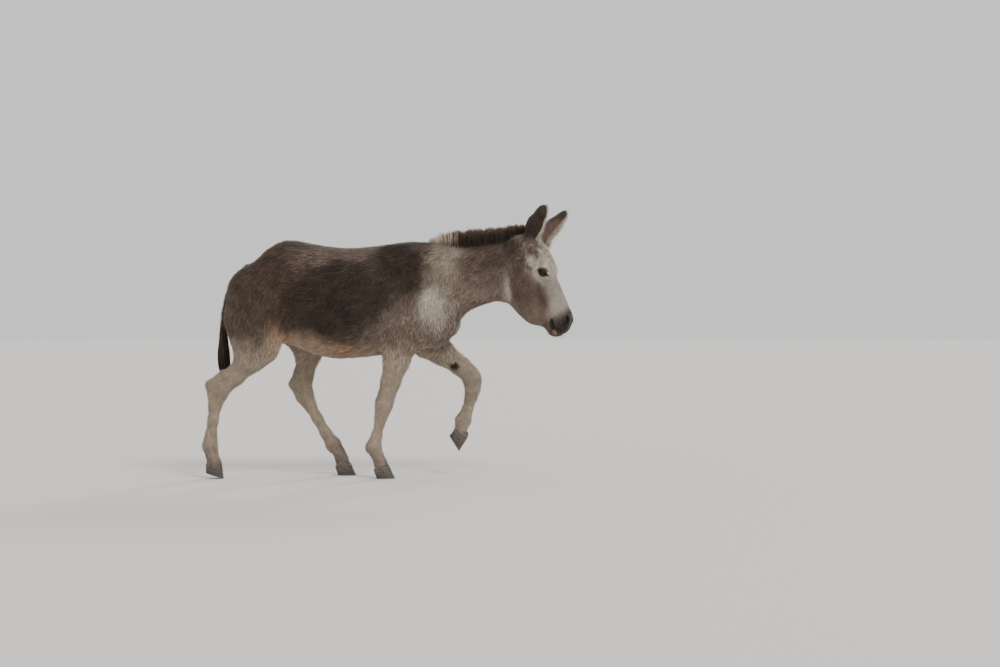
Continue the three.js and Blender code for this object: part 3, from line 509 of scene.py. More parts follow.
skinCo, skinTris = makeSkin()
skinBody = toBody(skinCo)
nearEars, nearTail = nearThinParts(skinCo)
firmness = 1 - smooth(*skinSettings["loose"], np.maximum(nearEars, nearTail))
skinBody = drawOnto(skinBody, firmness, 2)
skinBody = relax(skinBody, skinTris, 0.08 + 0.27 * firmness, 2)


def earAxes(name):
    # root, the way up the ear, the way its mouth faces, and across it to the animal's left
    ear = earFrames[name]
    axis = unit(np.array(ear["axis"], float)[None])[0]
    mouth = np.array(ear["open"], float)
    mouth = unit((mouth - mouth @ axis * axis)[None])[0]
    return np.array(ear["root"], float), axis, mouth, np.cross(axis, mouth)


def earPlaces(body, name):
    # height up the ear, the way out from its middle, and whether it is that ear at all
    root, axis, mouth, across = earAxes(name)
    off = body - root
    way = off @ axis
    middle = np.interp(way / earSettings["length"], earSettings["way"], earSettings["setBack"])
    radial = off - way[:, None] * axis + mouth * middle[:, None]
    return way, radial, (np.linalg.norm(radial, axis=1) < earSettings["reach"]) & (way > -30)


def broadenEars(body, near):
    # gives back to the thin cups the width that closing and relaxing take
    e, moved = earSettings, body.copy()
    for name in earFrames:
        way, radial, mine = earPlaces(body, name)
        root, axis, mouth, across = earAxes(name)
        free = way > 15  # clear of the head
        wider = np.interp(way, e["broadAt"], e["broad"]) * near * mine * free
        moved += (radial @ across)[:, None] * across * wider[:, None]
        moved += (radial @ mouth)[:, None] * mouth * (wider * 0.8)[:, None]
        ahead = unit((np.array([1.0, 0, 0]) - axis[0] * axis)[None])[0]
        place = radial @ ahead / 36
        front, rear = (np.interp(way, e["edgeAt"], e[edge][name]) for edge in ("front", "rear"))
        edge = front * np.clip(place, 0, 1.1) - rear * np.clip(-place, 0, 1.1)
        moved += ahead * (edge * near * mine * free)[:, None]
    return moved


skinBody = broadenEars(skinBody, smooth(0.3, 0.9, nearEars))

# depth and length of the hair on each part, in millimetres
coat = {
    "bodyDepth": 11.5, "bellyDepth": 13.0, "legDepth": 6.0, "footDepth": 4.0,
    "eyeDepth": 2.2, "earDepth": 2.4, "tailDepth": 8.0,
    "bodyLength": 27.0, "bellyLength": 33.0, "legLength": 16.0, "footLength": 11.0,
    "earLength": 8.0, "backShorter": 0.2, "eyeShorter": 0.55,
    "headPlaces": (-40, 60, 150, 250, 330, 400, 440, 520),
    "headDepth": (11, 8.5, 6.5, 5, 4, 3, 1.8, 1.4),
    "headLength": (26, 20, 16, 11.5, 9.5, 7.5, 4.6, 3.6),
}
# the places between which a part of the body or a tone begins or ends
bounds = {
    "legTop": (535, 640), "footTop": (160, 420), "underTop": (640, 800), "underRear": (-640, -520),
    "chestRear": (200, 300), "chestTop": (880, 980), "backLow": (1120, 1190), "roundEye": (22, 52),
    "jowlStart": (60, 110), "jowlEnd": (215, 265), "jowlTop": (-128, -108), "mouthCorner": (424, 431),
    "foreheadTop": (20, 90), "foreheadEnd": (190, 260), "noseFrom": (150, 260),
    "belly": (20, -45), "bellyLow": (540, 600), "bellyRear": (-50, 50), "bellyFront": (-60, 60),
    "bellyLine": ((-620, -100, 60), (765, 672, 640)), "groinLine": ((20, 90), (-650, -430)),
    "spine": (14, 34), "spineLow": (1100, 1150), "spineFront": (120, 200),
    "crest": (-38, -8), "crestRear": (240, 320),
    "crestLine": ((200, 290, 400, 520, 640), (1186, 1184, 1186, 1204, 1222)),
    "foreleg": (585, 742), "forelegRear": (-230, -150), "hindLeg": (600, 760), "hindLegFront": (-360, -300),
    "cannon": (90, 210), "innerLeg": (60, 100), "innerLegTop": (560, 700),
    "muzzle": (400, 452), "lips": (456, 486), "lipsWide": (26, 52),
    "nostril": (-1, 5), "nostrilSide": (18, 28),
    "mouth": (418, 430), "mouthShadow": ((420, 436, 462, 482, 500), (7, 15, 15, 8, 4)),
    "lidShade": (13, 21), "lidShadeLow": (-2, 5), "lidShadeRear": (-38, -26), "lidShadeFront": (14, 26),
    "underLid": (5, 13), "eyeRim": (1.0, 6.0), "rimOut": (1.5, 2.5),
    "ear": (0.35, 0.9), "earBack": (1165, 1232), "earSide": (-4, 14), "earInner": (1285, 1345),
    "earCup": (0.1, 0.6), "earTip": (1300, 1370), "earRoot": (0.7, 1.4),
    "crown": (180, 240), "crownLow": (-10, 30),
}


def past(name, values):
    # 0 before the first bound, 1 past the second
    return smooth(*bounds[name], values)


eyes = {
    "radius": 20.0, "halfLong": 23.5, "upper": 12.5, "lower": 12.0,
    "arch": (0.8, 0.9),  # how full the upper and the lower lid are towards the corners
    "lid": 2.2,  # how thick the lids are over the ball
    "turn": (0.786, 0.617),  # the long axis of the opening, down and across the face
}


def eyeCentre(side):
    low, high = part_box("eye_left" if side > 0 else "eye_right")
    return (np.array(low) + np.array(high)) / 2


def eyePlace(body, side):
    # a along the opening to its front corner, b up across it, c outwards
    u, v, w = toHead(body)
    cu, cv, cw = (float(k[0]) for k in toHead(toBody(eyeCentre(side)[None])))
    du, dv = u - cu, v - cv
    a = du * eyes["turn"][0] + dv * eyes["turn"][1]
    b = dv * eyes["turn"][0] - du * eyes["turn"][1]
    return a, b, (w - cw) * side


def lidHeights(a):
    # how far the edges of the upper and the lower lid are from the middle of the opening
    reach = np.clip(1 - (a / eyes["halfLong"]) ** 2, 0, 1)
    return eyes["upper"] * reach ** eyes["arch"][0], eyes["lower"] * reach ** eyes["arch"][1]


def lidEdge(a, b):
    # how far a place is outside the opening between the lids
    top, bottom = lidHeights(a)
    gap = np.where(b > 0, b - top, -b - bottom)
    beyond = np.abs(a) - eyes["halfLong"]
    return np.where(beyond > 0, np.hypot(beyond, b), gap)


def pathDistance(path, radii, u, v):
    # distance to a flat path that has its own half width at each place
    path = np.array(path, float)
    best = np.full(len(u), 1e9)
    for (p, q, rp, rq) in zip(path, path[1:], radii, radii[1:]):
        d = q - p
        t = np.clip(((u - p[0]) * d[0] + (v - p[1]) * d[1]) / (d @ d), 0, 1)
        far = np.hypot(u - p[0] - d[0] * t, v - p[1] - d[1] * t) - rp - (rq - rp) * t
        best = np.minimum(best, far)
    return best


def nostrilDistance(u, v):
    return pathDistance(((448, 63), (460, 62), (472, 54), (479, 42)), (3.0, 6.0, 6.5, 3.5), u, v)


def mouthLine(u):
    return np.interp(u, (420, 432, 450, 468, 500, 515), (-13, -18, -23, -26, -26, -25))


def regions(body, ears, tail):
    # depth and length of the coat, and how far each place is on each part
    x, y, z = body.T
    u, v, w = toHead(body)
    head = shareOfHead(body)
    leg = 1 - past("legTop", z)
    foot = 1 - past("footTop", z)
    belly = (1 - past("underTop", z)) * past("underRear", x) * (1 - leg)
    chest = past("chestRear", x) * (1 - past("chestTop", z)) * (1 - head)
    soft = np.maximum(belly, chest)
    back = past("backLow", z) * (1 - head)
    nearEye = 1 - past("roundEye", np.hypot(u - measure["eyeU"], v - measure["eyeV"]))
    onEar = smooth(0.55, 0.95, ears)
    layers = {}
    for key in ("Depth", "Length"):
        layer = coat["body" + key] + (coat["belly" + key] - coat["body" + key]) * soft
        if key == "Length":
            layer = layer * (1 - coat["backShorter"] * back)
        layer = layer + (coat["leg" + key] - layer) * leg
        layer = layer + (coat["foot" + key] - coat["leg" + key]) * foot * leg
        face = np.interp(u, coat["headPlaces"], coat["head" + key])
        if key == "Depth":
            face = face + (coat["eyeDepth"] - face) * nearEye
        else:
            face = face * (1 - coat["eyeShorter"] * nearEye)
        layers[key] = layer + (face - layer) * head
    depth, length = layers["Depth"], layers["Length"]
    depth = depth + (coat["earDepth"] - depth) * smooth(0.3, 0.95, ears)
    depth = depth + (coat["tailDepth"] - depth) * smooth(0.3, 0.9, tail)
    length = length + (coat["earLength"] - length) * onEar
    return {"depth": depth, "length": length, "head": head, "leg": leg, "ear": onEar, "cup": ears,
            "tail": smooth(0.4, 0.9, tail), "u": u, "v": v, "w": w}


faceShape = {
    "reach": 44.0, "runOut": 40.0,  # how far round an eye the skin is shaped, and the lids run out
    "soft": 9.0, "socket": 7.0,  # softness of the lids' edge, and how far the skin sinks behind them
    "swelling": (3.2, 25.0, 8.0),  # height, distance from the eye's middle, width
    # folds of the lids: depth, distance from the opening, width, above or below, from that height
    "lidFolds": ((1.7, 8.5, 1.9, 1, -2), (0.9, 14, 2.4, 1, 4), (1.1, 7, 1.7, -1, 1)),
    "nostril": 17.0, "nostrilRim": (2.6, 3.6, 2.8),
    "mouth": (5.0, 2.1), "lips": ((1.7, 7), (1.9, -7)), "lipWide": 4.0,
    # creases: from u, v to u, v, depth, width
    "creases": (((62, -130), (140, -158), 5.0, 8.0), ((140, -158), (196, -176), 4.0, 7.0),
                ((421, -8), (424, -34), 1.3, 2.0), ((413, -4), (414, -38), 0.9, 2.4),
                ((432, 66), (466, 74), 1.2, 2.6), ((440, 30), (468, 26), 1.4, 3.2),
                ((392, 24), (424, 20), 1.6, 3.4), ((404, 0), (424, -6), 1.2, 3.0)),
}


def shapeFace(body, normals, zone):
    # lids, nostrils, lips and the folds round them
    f = faceShape
    u, v, w, head = zone["u"], zone["v"], zone["w"], zone["head"]
    out = np.abs(w)
    bare = np.zeros(len(body))
    outward = headTurn(0, 0, 1)
    soft, ball = f["soft"], eyes["radius"] + eyes["lid"]
    high, place, wide = f["swelling"]
    for side in (-1, 1):
        a, b, c = eyePlace(body, side)
        flat = np.hypot(a, b)
        near = (flat < f["reach"]) & (c > -14) & (head > 0.5)
        edge = lidEdge(a, b)
        # the lids lie on the ball and run out softly into the face
        crown = np.sqrt(np.maximum(ball ** 2 - flat ** 2, 0))
        gap = crown - c
        h = np.maximum(soft - np.abs(gap), 0) / soft
        lift = np.maximum(gap, 0) + h * h * soft / 4
        lift = lift * (1 - smooth(ball + 2, f["runOut"], flat)) * (c > -6)
        lift = lift + high * swell(flat - place, wide) * (b > -30)
        fold = sum(deep * swell(edge - far, across) * (b * way > start)
                   for deep, far, across, way, start in f["lidFolds"])
        move = np.where(edge < 0, crown - f["socket"] - c, lift - fold)
        body = body + outward * side * np.where(near, move, 0)[:, None]
        bare = np.maximum(bare, near * (1 - smooth(3.0, 5.5, edge)))
    nostril = nostrilDistance(u, v)
    seen = smooth(20, 30, out) * head
    high, place, wide = f["nostrilRim"]
    body = body - normals * (f["nostril"] * smooth(1.0, -4.5, nostril) * seen)[:, None]
    body = body + normals * (high * swell(nostril - place, wide) * seen)[:, None]
    bare = np.maximum(bare, (nostril < 1.2) * seen)
    mouth = v - mouthLine(u)
    inMouth = past("mouthCorner", u) * head * (1 - 0.6 * smooth(472, 490, u))
    deep, wide = f["mouth"]
    body = body - normals * (deep * swell(mouth, wide) * inMouth)[:, None]
    for high, place in f["lips"]:
        body = body + normals * (high * swell(mouth - place, f["lipWide"]) * inMouth)[:, None]
    bare = np.maximum(bare, (np.abs(mouth) < 2.2) * inMouth)
    for start, end, deep, wide in f["creases"]:
        far = pathDistance((start, end), (0, 0), u, v)
        body = body - normals * (deep * swell(far, wide) * head * smooth(18, 30, out))[:, None]
    return body, bare


reliefGrooves = [
    # from x, |y|, z to x, |y|, z, depth, width: lines between the muscles, both sides
    ((150, 95, 1080), (262, 118, 830), 3.5, 26), ((262, 118, 830), (250, 100, 720), 3.0, 22),
    ((-70, 150, 860), (-48, 140, 690), 5.0, 26), ((560, 70, 1000), (330, 96, 850), 4.0, 20),
    ((500, 80, 1110), (300, 100, 1060), 2.6, 34), ((-520, 190, 1010), (-560, 185, 820), 4.0, 36),
    ((-770, 120, 980), (-742, 126, 760), 3.2, 22), ((538, 62, 1090), (520, 70, 960), 2.0, 9),
    ((516, 66, 1060), (508, 72, 965), 1.4, 8),
]
breastNotch = {
    "height": 697.0, "above": 35.0, "below": 24.0, "rear": (205, 275), "front": 360.0, "deep": 19.0,
}


def shapeBody(body, normals):
    n = breastNotch
    place = np.stack([body[:, 0], np.abs(body[:, 1]), body[:, 2]], axis=1)
    for start, end, deep, wide in reliefGrooves:
        start, end = np.array(start, float), np.array(end, float)
        d = end - start
        t = np.clip(((place - start) @ d) / (d @ d), 0, 1)
        far = np.linalg.norm(place - start - t[:, None] * d, axis=1)
        body = body - normals * (deep * swell(far, wide))[:, None]
    # the breast runs back to meet the raised foreleg
    rise = body[:, 2] - n["height"]
    notch = swell(rise, np.where(rise > 0, n["above"], n["below"]))
    notch = notch * smooth(*n["rear"], body[:, 0]) * (body[:, 0] < n["front"])
    return body - np.array([n["deep"], 0, 0]) * notch[:, None]


legShape = {
    "knee": (4, 1.8), "fetlock": (8, 1.5),  # joint, and how far its ends stand out
    "waves": 5.5, "wide": 46.0, "share": 0.35,
    "cannon": 6, "groove": 3.4, "grooveBehind": 7.0, "grooveWide": 5.0, "reach": 60.0,
}


def shapeLegs(body, normals, zone):
    # the bony knee and fetlock, and the groove between the cannon bone and the tendon behind it
    move = np.zeros(len(body))
    m = legShape
    for joints in legJoints.values():
        line = np.array([j[:3] for j in joints], float)
        for joint, deep in (m["knee"], m["fetlock"]):
            far = np.linalg.norm(body - line[joint], axis=1)
            wave = np.cos(far / m["waves"]) * swell(far, m["wide"])
            move += deep * wave * m["share"]
        top, low = line[m["cannon"]], line[m["cannon"] + 1]
        d = low - top
        t = ((body - top) @ d) / (d @ d)
        off = body - (top + np.clip(t, 0, 1)[:, None] * d)
        inside = (np.linalg.norm(off, axis=1) < m["reach"]) * smooth(-0.25, 0.1, t)
        inside = inside * (1 - smooth(0.85, 1.1, t))
        forward = unit(np.cross(d, (0, 1, 0))[None, :])[0]
        behind = off @ forward * (1 if forward[0] < 0 else -1)
        move -= m["groove"] * swell(behind - m["grooveBehind"], m["grooveWide"]) * inside
    return body + normals * (move * zone["leg"])[:, None]


skinNormals = vertexNormals(skinBody, skinTris)
zone = regions(skinBody, nearEars, nearTail)
skinBody = skinBody - skinNormals * zone["depth"][:, None]
skinBody = relax(skinBody, skinTris, 0.4 * (1 - zone["ear"]), 3)
skinNormals = vertexNormals(skinBody, skinTris)
skinBody = shapeBody(skinBody, skinNormals)
skinBody = shapeLegs(skinBody, skinNormals, zone)
skinBody, skinBare = shapeFace(skinBody, skinNormals, zone)
skinNormals = vertexNormals(skinBody, skinTris)
zone = regions(skinBody, nearEars, nearTail)
skinCo = toFrame(skinBody)
print("skin shaped")

# markings are soft patches of colour, the same for the skin and for each tuft's root
tones = {
    "base": (0.152, 0.112, 0.086), "dark": (0.036, 0.024, 0.015), "brown": (0.066, 0.041, 0.026),
    "lilac": (0.160, 0.116, 0.092), "middle": (0.210, 0.158, 0.125), "neck": (0.098, 0.066, 0.048),
    "crest": (0.050, 0.032, 0.021), "pale": (0.315, 0.256, 0.205), "silver": (0.430, 0.382, 0.322),
    "white": (0.660, 0.598, 0.500), "leg": (0.405, 0.328, 0.246), "belly": (0.390, 0.225, 0.145),
    "cheek": (0.108, 0.073, 0.055), "slate": (0.054, 0.040, 0.033), "black": (0.011, 0.008, 0.006),
    "pink": (0.340, 0.165, 0.115), "earBack": (0.036, 0.023, 0.014), "earRoot": (0.145, 0.097, 0.074),
    "earInner": (0.152, 0.096, 0.073), "earInside": (0.340, 0.275, 0.215),
}
# x, z, reach along, reach across, turn in degrees, softness, tone, strength
bodyMarks = [
    (-357, 912, 295, 200, -4, 0.32, "dark", 0.97), (-150, 1010, 190, 140, 20, 0.4, "dark", 0.7),
    (-640, 1110, 190, 130, 20, 0.6, "brown", 0.85), (-720, 930, 190, 260, 0, 0.75, "brown", 0.8),
    (-290, 1144, 235, 42, 8, 0.5, "lilac", 0.85), (-500, 1050, 80, 50, 30, 0.6, "lilac", 0.2),
    (24, 1102, 122, 145, -12, 0.25, "dark", 0.98), (-40, 960, 90, 110, 10, 0.45, "dark", 0.6),
    (130, 1170, 90, 26, 0, 0.5, "lilac", 0.5), (245, 1110, 88, 98, -15, 0.4, "pale", 1.0),
    (205, 985, 80, 70, 0, 0.6, "middle", 0.6), (455, 1105, 155, 85, 12, 0.45, "neck", 0.9),
    (512, 1112, 62, 44, 20, 0.6, "crest", 0.45), (390, 930, 170, 95, 30, 0.5, "middle", 0.8),
    (470, 1000, 60, 50, 0, 0.6, "neck", 0.4), (165, 870, 85, 115, -10, 0.45, "silver", 0.95),
    (150, 905, 38, 55, 0, 0.8, "white", 0.5), (10, 770, 95, 120, 0, 0.5, "middle", 0.85),
    (250, 720, 90, 100, 0, 0.5, "middle", 0.8), (235, 675, 60, 36, 0, 0.5, "brown", 0.45),
    (300, 602, 92, 56, 45, 0.6, "silver", 0.6),
]
# u, v, reach down the face, reach across, turn, softness, tone, strength
headMarks = [
    (230, -60, 190, 130, 0, 0.4, "middle", 0.8), (90, 60, 95, 70, 0, 0.5, "pale", 0.9),
    (205, 62, 72, 50, 20, 0.5, "white", 0.72), (330, 62, 110, 42, -4, 0.5, "silver", 0.95),
    (395, 30, 50, 50, 0, 0.6, "silver", 0.6), (225, -85, 110, 62, -12, 0.45, "cheek", 0.9),
    (325, -22, 72, 34, -8, 0.7, "cheek", 0.55), (205, -165, 85, 22, -6, 0.6, "pale", 0.85),
    # the second mark on the next line, at 120 and -60, is painted shade in the hollow behind the eye
    (40, -60, 60, 50, 0, 0.6, "neck", 0.7), (120, -60, 26, 32, 0, 0.7, "crest", 0.55),
    (112, 12, 18, 30, 50, 0.8, "white", 0.55), (130, 40, 18, 26, 30, 0.8, "white", 0.4),
    (146, 70, 22, 34, 40, 0.8, "white", 0.5), (134, 106, 52, 28, 0, 0.7, "white", 0.75),
]
# paths down the face, half width at each place, softness, tone, strength
headStrokes = [
    (((80, -122), (150, -136), (205, -150), (246, -170)), (4, 11, 12, 5), 13, "silver", 0.95),
    (((50, -140), (120, -168), (200, -190)), (4, 6, 3), 8, "cheek", 0.6),
    (((232, 10), (290, -16), (345, -22)), (4, 12, 6), 20, "cheek", 0.75),
    (((150, 22), (190, 12), (232, 22)), (3, 5, 3), 6, "white", 0.5),
    # the next stroke is a painted shadow of the fold behind the eye, at the temple
    (((128, -14), (148, 8)), (5.5, 3), 9, "crest", 0.8),
    (((60, 46), (90, 66)), (12, 8), 14, "neck", 0.75),
]
# lines round the eye: path along and across its opening, half widths, softness, tone, strength
eyeStrokes = [
    (((-23, 2), (-36, 5)), (2.6, 0.8), 5, "crest", 0.9),
    (((22, 0), (34, -2)), (4.0, 1.2), 3.5, "black", 0.85),
    # the last line is painted shade in the crease of the upper lid
    (((4, 19), (24, 17)), (1.2, 0.8), 3, "slate", 0.5),
]
# middle, reach each way, and where the edge of the oval starts and ends
ovals = {
    "nose": ((468, 50), (26, 22), (0.6, 1.4)), "chin": ((466, -56), (22, 14), (0.5, 1.5)),
    "lip": ((496, -31), (15, 12), (0.55, 1.35)), "nape": ((600, 1130), (50, 90), (0.6, 1.3)),
    # painted shade in the fold of the neck behind the ear
    "behindEar": ((572, 1172), (36, 46), (0.5, 1.4)),
}
chestnuts = {"middles": ((271, 64, 567), (-36, -70, 545)), "reach": (29, 36, 22), "edge": (0.7, 1.3)}


def patch(p, q, mark):
    cx, cy, rx, ry, turn, soft, tone, strength = mark
    angle = math.radians(turn)
    dx, dy = p - cx, q - cy
    a = dx * math.cos(angle) + dy * math.sin(angle)
    b = dy * math.cos(angle) - dx * math.sin(angle)
    far = np.hypot(a / rx, b / ry)
    return (1 - smooth(1 - soft, 1 + soft, far)) * strength


def oval(p, q, name):
    (cx, cy), (rx, ry), edge = ovals[name]
    return 1 - smooth(*edge, np.hypot((p - cx) / rx, (q - cy) / ry))


def paint(colors, tone, share):
    return colors + (np.array(tones[tone]) - colors) * np.clip(share, 0, 1)[:, None]


def plainTone(tone, count):
    return np.tile(np.array(tones[tone]), (count, 1))


def trunkTone(body, waver, waver2):
    x, y, z = body.T
    colors = plainTone("base", len(body))
    for mark in bodyMarks:
        colors = paint(colors, mark[6], patch(x + waver, z + waver2, mark))
    belly = past("belly", z + waver2 * 0.6 - np.interp(x, *bounds["bellyLine"]))
    groin = np.interp(y, *bounds["groinLine"])
    belly = belly * past("bellyLow", z) * past("bellyRear", x - groin) * (1 - past("bellyFront", x))
    colors = paint(colors, "belly", belly * 0.95)
    spine = (1 - past("spine", np.abs(y + waver * 0.2))) * past("spineLow", z) * (1 - past("spineFront", x))
    colors = paint(colors, "brown", spine * 0.85)
    # a dark band along the crest under the mane: partly the crest's own darker hair, partly painted shadow of
    # the mane
    band = past("crest", z + waver2 * 0.3 - np.interp(x, *bounds["crestLine"])) * past("crestRear", x)
    colors = paint(colors, "crest", band * 0.6)
    front = past("forelegRear", x) * (1 - past("foreleg", z + waver2 * 0.8))
    behind = (1 - past("hindLegFront", x)) * (1 - past("hindLeg", z + waver2))
    colors = paint(colors, "leg", front * 0.92)
    colors = paint(colors, "leg", behind * 0.85)
    colors = paint(colors, "middle", (1 - past("cannon", z)) * 0.6)
    inner = (1 - past("innerLeg", np.abs(y))) * (1 - past("innerLegTop", z))
    return paint(colors, "pale", inner * 0.5)


def faceTone(body, zone, waver, waver2):
    u, v, w = zone["u"], zone["v"], zone["w"]
    face = plainTone("middle", len(body))
    for mark in headMarks:
        face = paint(face, mark[6], patch(u + waver * 0.35, v + waver2 * 0.35, mark))
    for path, radii, soft, tone, strength in headStrokes:
        far = pathDistance(path, radii, u + waver * 0.12, v + waver2 * 0.12)
        face = paint(face, tone, (1 - smooth(-soft * 0.4, soft, far)) * strength)
    face = paint(face, "slate", past("muzzle", u + waver * 0.16 + 0.10 * (v - 30)) * 0.96)
    face = paint(face, "black", past("lips", u) * (1 - past("lipsWide", np.abs(v - 10))) * 0.78)
    face = paint(face, "black", oval(u, v, "nose") * 0.5)
    face = paint(face, "middle", oval(u, v, "chin") * cloud(body, 9, 12) * 0.7)
    nostril = 1 - past("nostril", nostrilDistance(u, v))
    face = paint(face, "black", nostril * past("nostrilSide", np.abs(w)))
    mouth = np.abs(v - mouthLine(u))
    shadow = np.interp(u, *bounds["mouthShadow"])
    face = paint(face, "black", (1 - smooth(shadow * 0.5, shadow, mouth)) * past("mouth", u) * 0.9)
    face = paint(face, "pink", oval(u, v, "lip") * (w < 12) * 0.85)
    for side in (-1, 1):
        a, b, _ = eyePlace(body, side)
        edge = lidEdge(a, b)
        onSide = (w * side > 0).astype(float)
        lidShade = (1 - past("lidShade", edge)) * past("lidShadeLow", b)
        lidShade = lidShade * past("lidShadeRear", a) * (1 - past("lidShadeFront", a))
        face = paint(face, "cheek", lidShade * onSide * 0.9)
        face = paint(face, "crest", (1 - past("underLid", edge)) * smooth(2, -4, b) * onSide * 0.75)
        rim = 1 - past("eyeRim", edge - np.where(b > 0, *bounds["rimOut"]))
        face = paint(face, "black", rim * onSide * 0.9)
        for path, radii, soft, tone, strength in eyeStrokes:
            far = pathDistance(path, radii, a, b)
            face = paint(face, tone, (1 - smooth(0, soft, far)) * onSide * strength)
    return face


def earTone(body, height, earFacing):
    # dark backs, paler towards the other ear and at the root, pale inside
    inner = np.zeros(len(body))
    for name, way in (("ear_right", 1), ("ear_left", -1)):
        _, radial, mine = earPlaces(body, name)
        inner = np.where(mine, past("earSide", radial @ earAxes(name)[3] * way), inner)
    ear = paint(plainTone("earRoot", len(body)), "earBack", past("earBack", height))
    ear = paint(ear, "earInner", inner * (1 - past("earInner", body[:, 2])) * 0.9)
    ear = paint(ear, "earInside", past("earCup", earFacing) * 0.9)
    return paint(ear, "earBack", past("earCup", earFacing) * past("earTip", body[:, 2]) * 0.6)


def coatTone(body, zone, earFacing):
    x, y, z = body.T
    waver, waver2 = ((cloud(body, 70, seed) - 0.5) * 70 + (cloud(body, 26, seed + 1) - 0.5) * 30
                     for seed in (3, 5))
    colors = trunkTone(body, waver, waver2)
    face = faceTone(body, zone, waver, waver2)
    colors = colors + (face - colors) * zone["head"][:, None]
    colors = paint(colors, "neck", oval(x, z, "nape") * (1 - zone["ear"]) * 0.8)
    # painted shade in the fold of the neck behind the ear
    colors = paint(colors, "crest", oval(x, z, "behindEar") * (1 - zone["ear"]) * 0.65)
    for name in earFrames:
        foot, axis = earAxes(name)[:2]
        near = np.linalg.norm(body - foot - axis * 26, axis=1) / 34
        colors = paint(colors, "earRoot", (1 - past("earRoot", near)) * 0.75)
    ear = earTone(body, z + waver * 0.4, earFacing)
    colors = colors + (ear - colors) * past("ear", zone["cup"])[:, None]
    # a chestnut on the inner side of each forearm
    for middle in chestnuts["middles"]:
        far = np.sqrt(sum(((p - c) / r) ** 2 for p, c, r in zip((x, y, z), middle, chestnuts["reach"])))
        colors = paint(colors, "black", (1 - smooth(*chestnuts["edge"], far)) * 0.97)
    # mottling, stronger where the coat is dark
    speck = (cloud(body, 10, 8) - 0.5) * 0.75 + (cloud(body, 30, 9) - 0.5) * 0.7
    crown = zone["head"] * (1 - past("crown", zone["u"])) * past("crownLow", zone["v"])
    amount = np.interp(colors.mean(axis=1), (0.02, 0.1, 0.3), (1.0, 0.85, 0.45))
    amount = amount * (1 - 0.45 * zone["head"] + 0.5 * crown)
    return colors * np.clip(1 + speck * amount, 0.4, 1.9)[:, None]


def earSide(body, normals):
    # above 0 on the inner face of an ear's cup, below 0 on its back
    facing = np.zeros(len(body))
    for name in earFrames:
        _, radial, mine = earPlaces(body, name)
        facing = np.where(mine, -(unit(radial) * normals).sum(axis=1), facing)
    return facing


skinFacing = earSide(skinBody, skinNormals)
skinColors = coatTone(skinBody, zone, skinFacing)
print("skin painted")

# one unwrap of the body's own shape, for the skin and for the roots of the tufts
sheets = {  # left, bottom, width, height of each chart
    "trunk": (0.01, 0.01, 0.66, 0.66), "head": (0.69, 0.01, 0.30, 0.40),
    "foreRight": (0.01, 0.69, 0.155, 0.30), "foreLeft": (0.175, 0.69, 0.155, 0.30),
    "hindRight": (0.34, 0.69, 0.155, 0.30), "hindLeft": (0.505, 0.69, 0.155, 0.30),
    "ear_right": (0.69, 0.43, 0.145, 0.27), "ear_left": (0.845, 0.43, 0.145, 0.27),
    "tail": (0.69, 0.72, 0.145, 0.27),
}
sheetNames = list(sheets)
# the middle line of the trunk and of the tail, and the lengths that each chart holds
unwrapSettings = {
    "trunk": (-850, 1600), "trunkLine": ((-800, 100, 600), (900, 920, 1080)), "head": (-60, 600),
    "leg": 660, "ear": (-30, 300), "earHalf": (0.48, 0.52), "tail": (1110, 420),
    "tailLine": ((700, 920, 1000, 1082), (900, 874, 836, 740)),
}


def onSheet(name, s, turn):
    # a place on one chart, by the share along it and the share round it
    left, bottom, width, height = sheets[name]
    return np.stack([left + width * s, bottom + height * turn], axis=1)


def sheetOf(body, zone):
    x, y, z = body.T
    which = np.zeros(len(body), int)
    low, fore = z < 640, x > -200
    masks = {
        "head": zone["head"] > 0.5, "foreRight": low & fore & (y < 0),
        "foreLeft": low & fore & (y >= 0) & (x > 60), "hindRight": low & ~fore & (y < 0),
        "hindLeft": low & ~fore & (y >= 0), "ear_right": (zone["ear"] > 0.3) & (y < 8),
        "ear_left": (zone["ear"] > 0.3) & (y >= 8), "tail": zone["tail"] > 0.5,
    }
    for name, mask in masks.items():
        which[mask] = sheetNames.index(name)
    return which


def unwrap(body, which):
    # way along the part in 0 to 1, and the angle round it
    x, y, z = body.T
    u, v, w = toHead(body)

    def share(name, values):
        start, size = unwrapSettings[name]
        return (values - start) / size

    s = share("trunk", x)
    ring = np.arctan2(y, z - np.interp(x, *unwrapSettings["trunkLine"]))
    parts = {"head": (share("head", u), np.arctan2(w, v + 30))}
    for name, joints in legJoints.items():
        line = np.array(sorted(joints, key=lambda joint: joint[2]), float)
        cx, cy = (np.interp(z, line[:, 2], line[:, k]) for k in (0, 1))
        parts[name] = (z / unwrapSettings["leg"], np.arctan2(y - cy, x - cx))
    for name in earFrames:
        _, _, mouth, across = earAxes(name)
        way, radial, _ = earPlaces(body, name)
        parts[name] = (share("ear", way), np.arctan2(radial @ across, -(radial @ mouth)))
    top, size = unwrapSettings["tail"]
    parts["tail"] = ((top - z) / size, np.arctan2(y, -x - np.interp(z, *unwrapSettings["tailLine"])))
    for name, (place, turn) in parts.items():
        mine = which == sheetNames.index(name)
        s, ring = np.where(mine, place, s), np.where(mine, turn, ring)
    return s, ring


def place2d(s, ring, which, inside):
    # an ear's inner face has the second half of its chart
    table = np.array([sheets[name] for name in sheetNames])[which]
    turn = ring / (2 * math.pi) + 0.5
    isEar = (which == sheetNames.index("ear_right")) | (which == sheetNames.index("ear_left"))
    half, start = unwrapSettings["earHalf"]
    turn = np.clip(np.where(isEar, turn * half + start * inside, turn), -0.02, 1.02)
    return np.stack([table[:, 0] + table[:, 2] * np.clip(s, 0, 1), table[:, 1] + table[:, 3] * turn], axis=1)


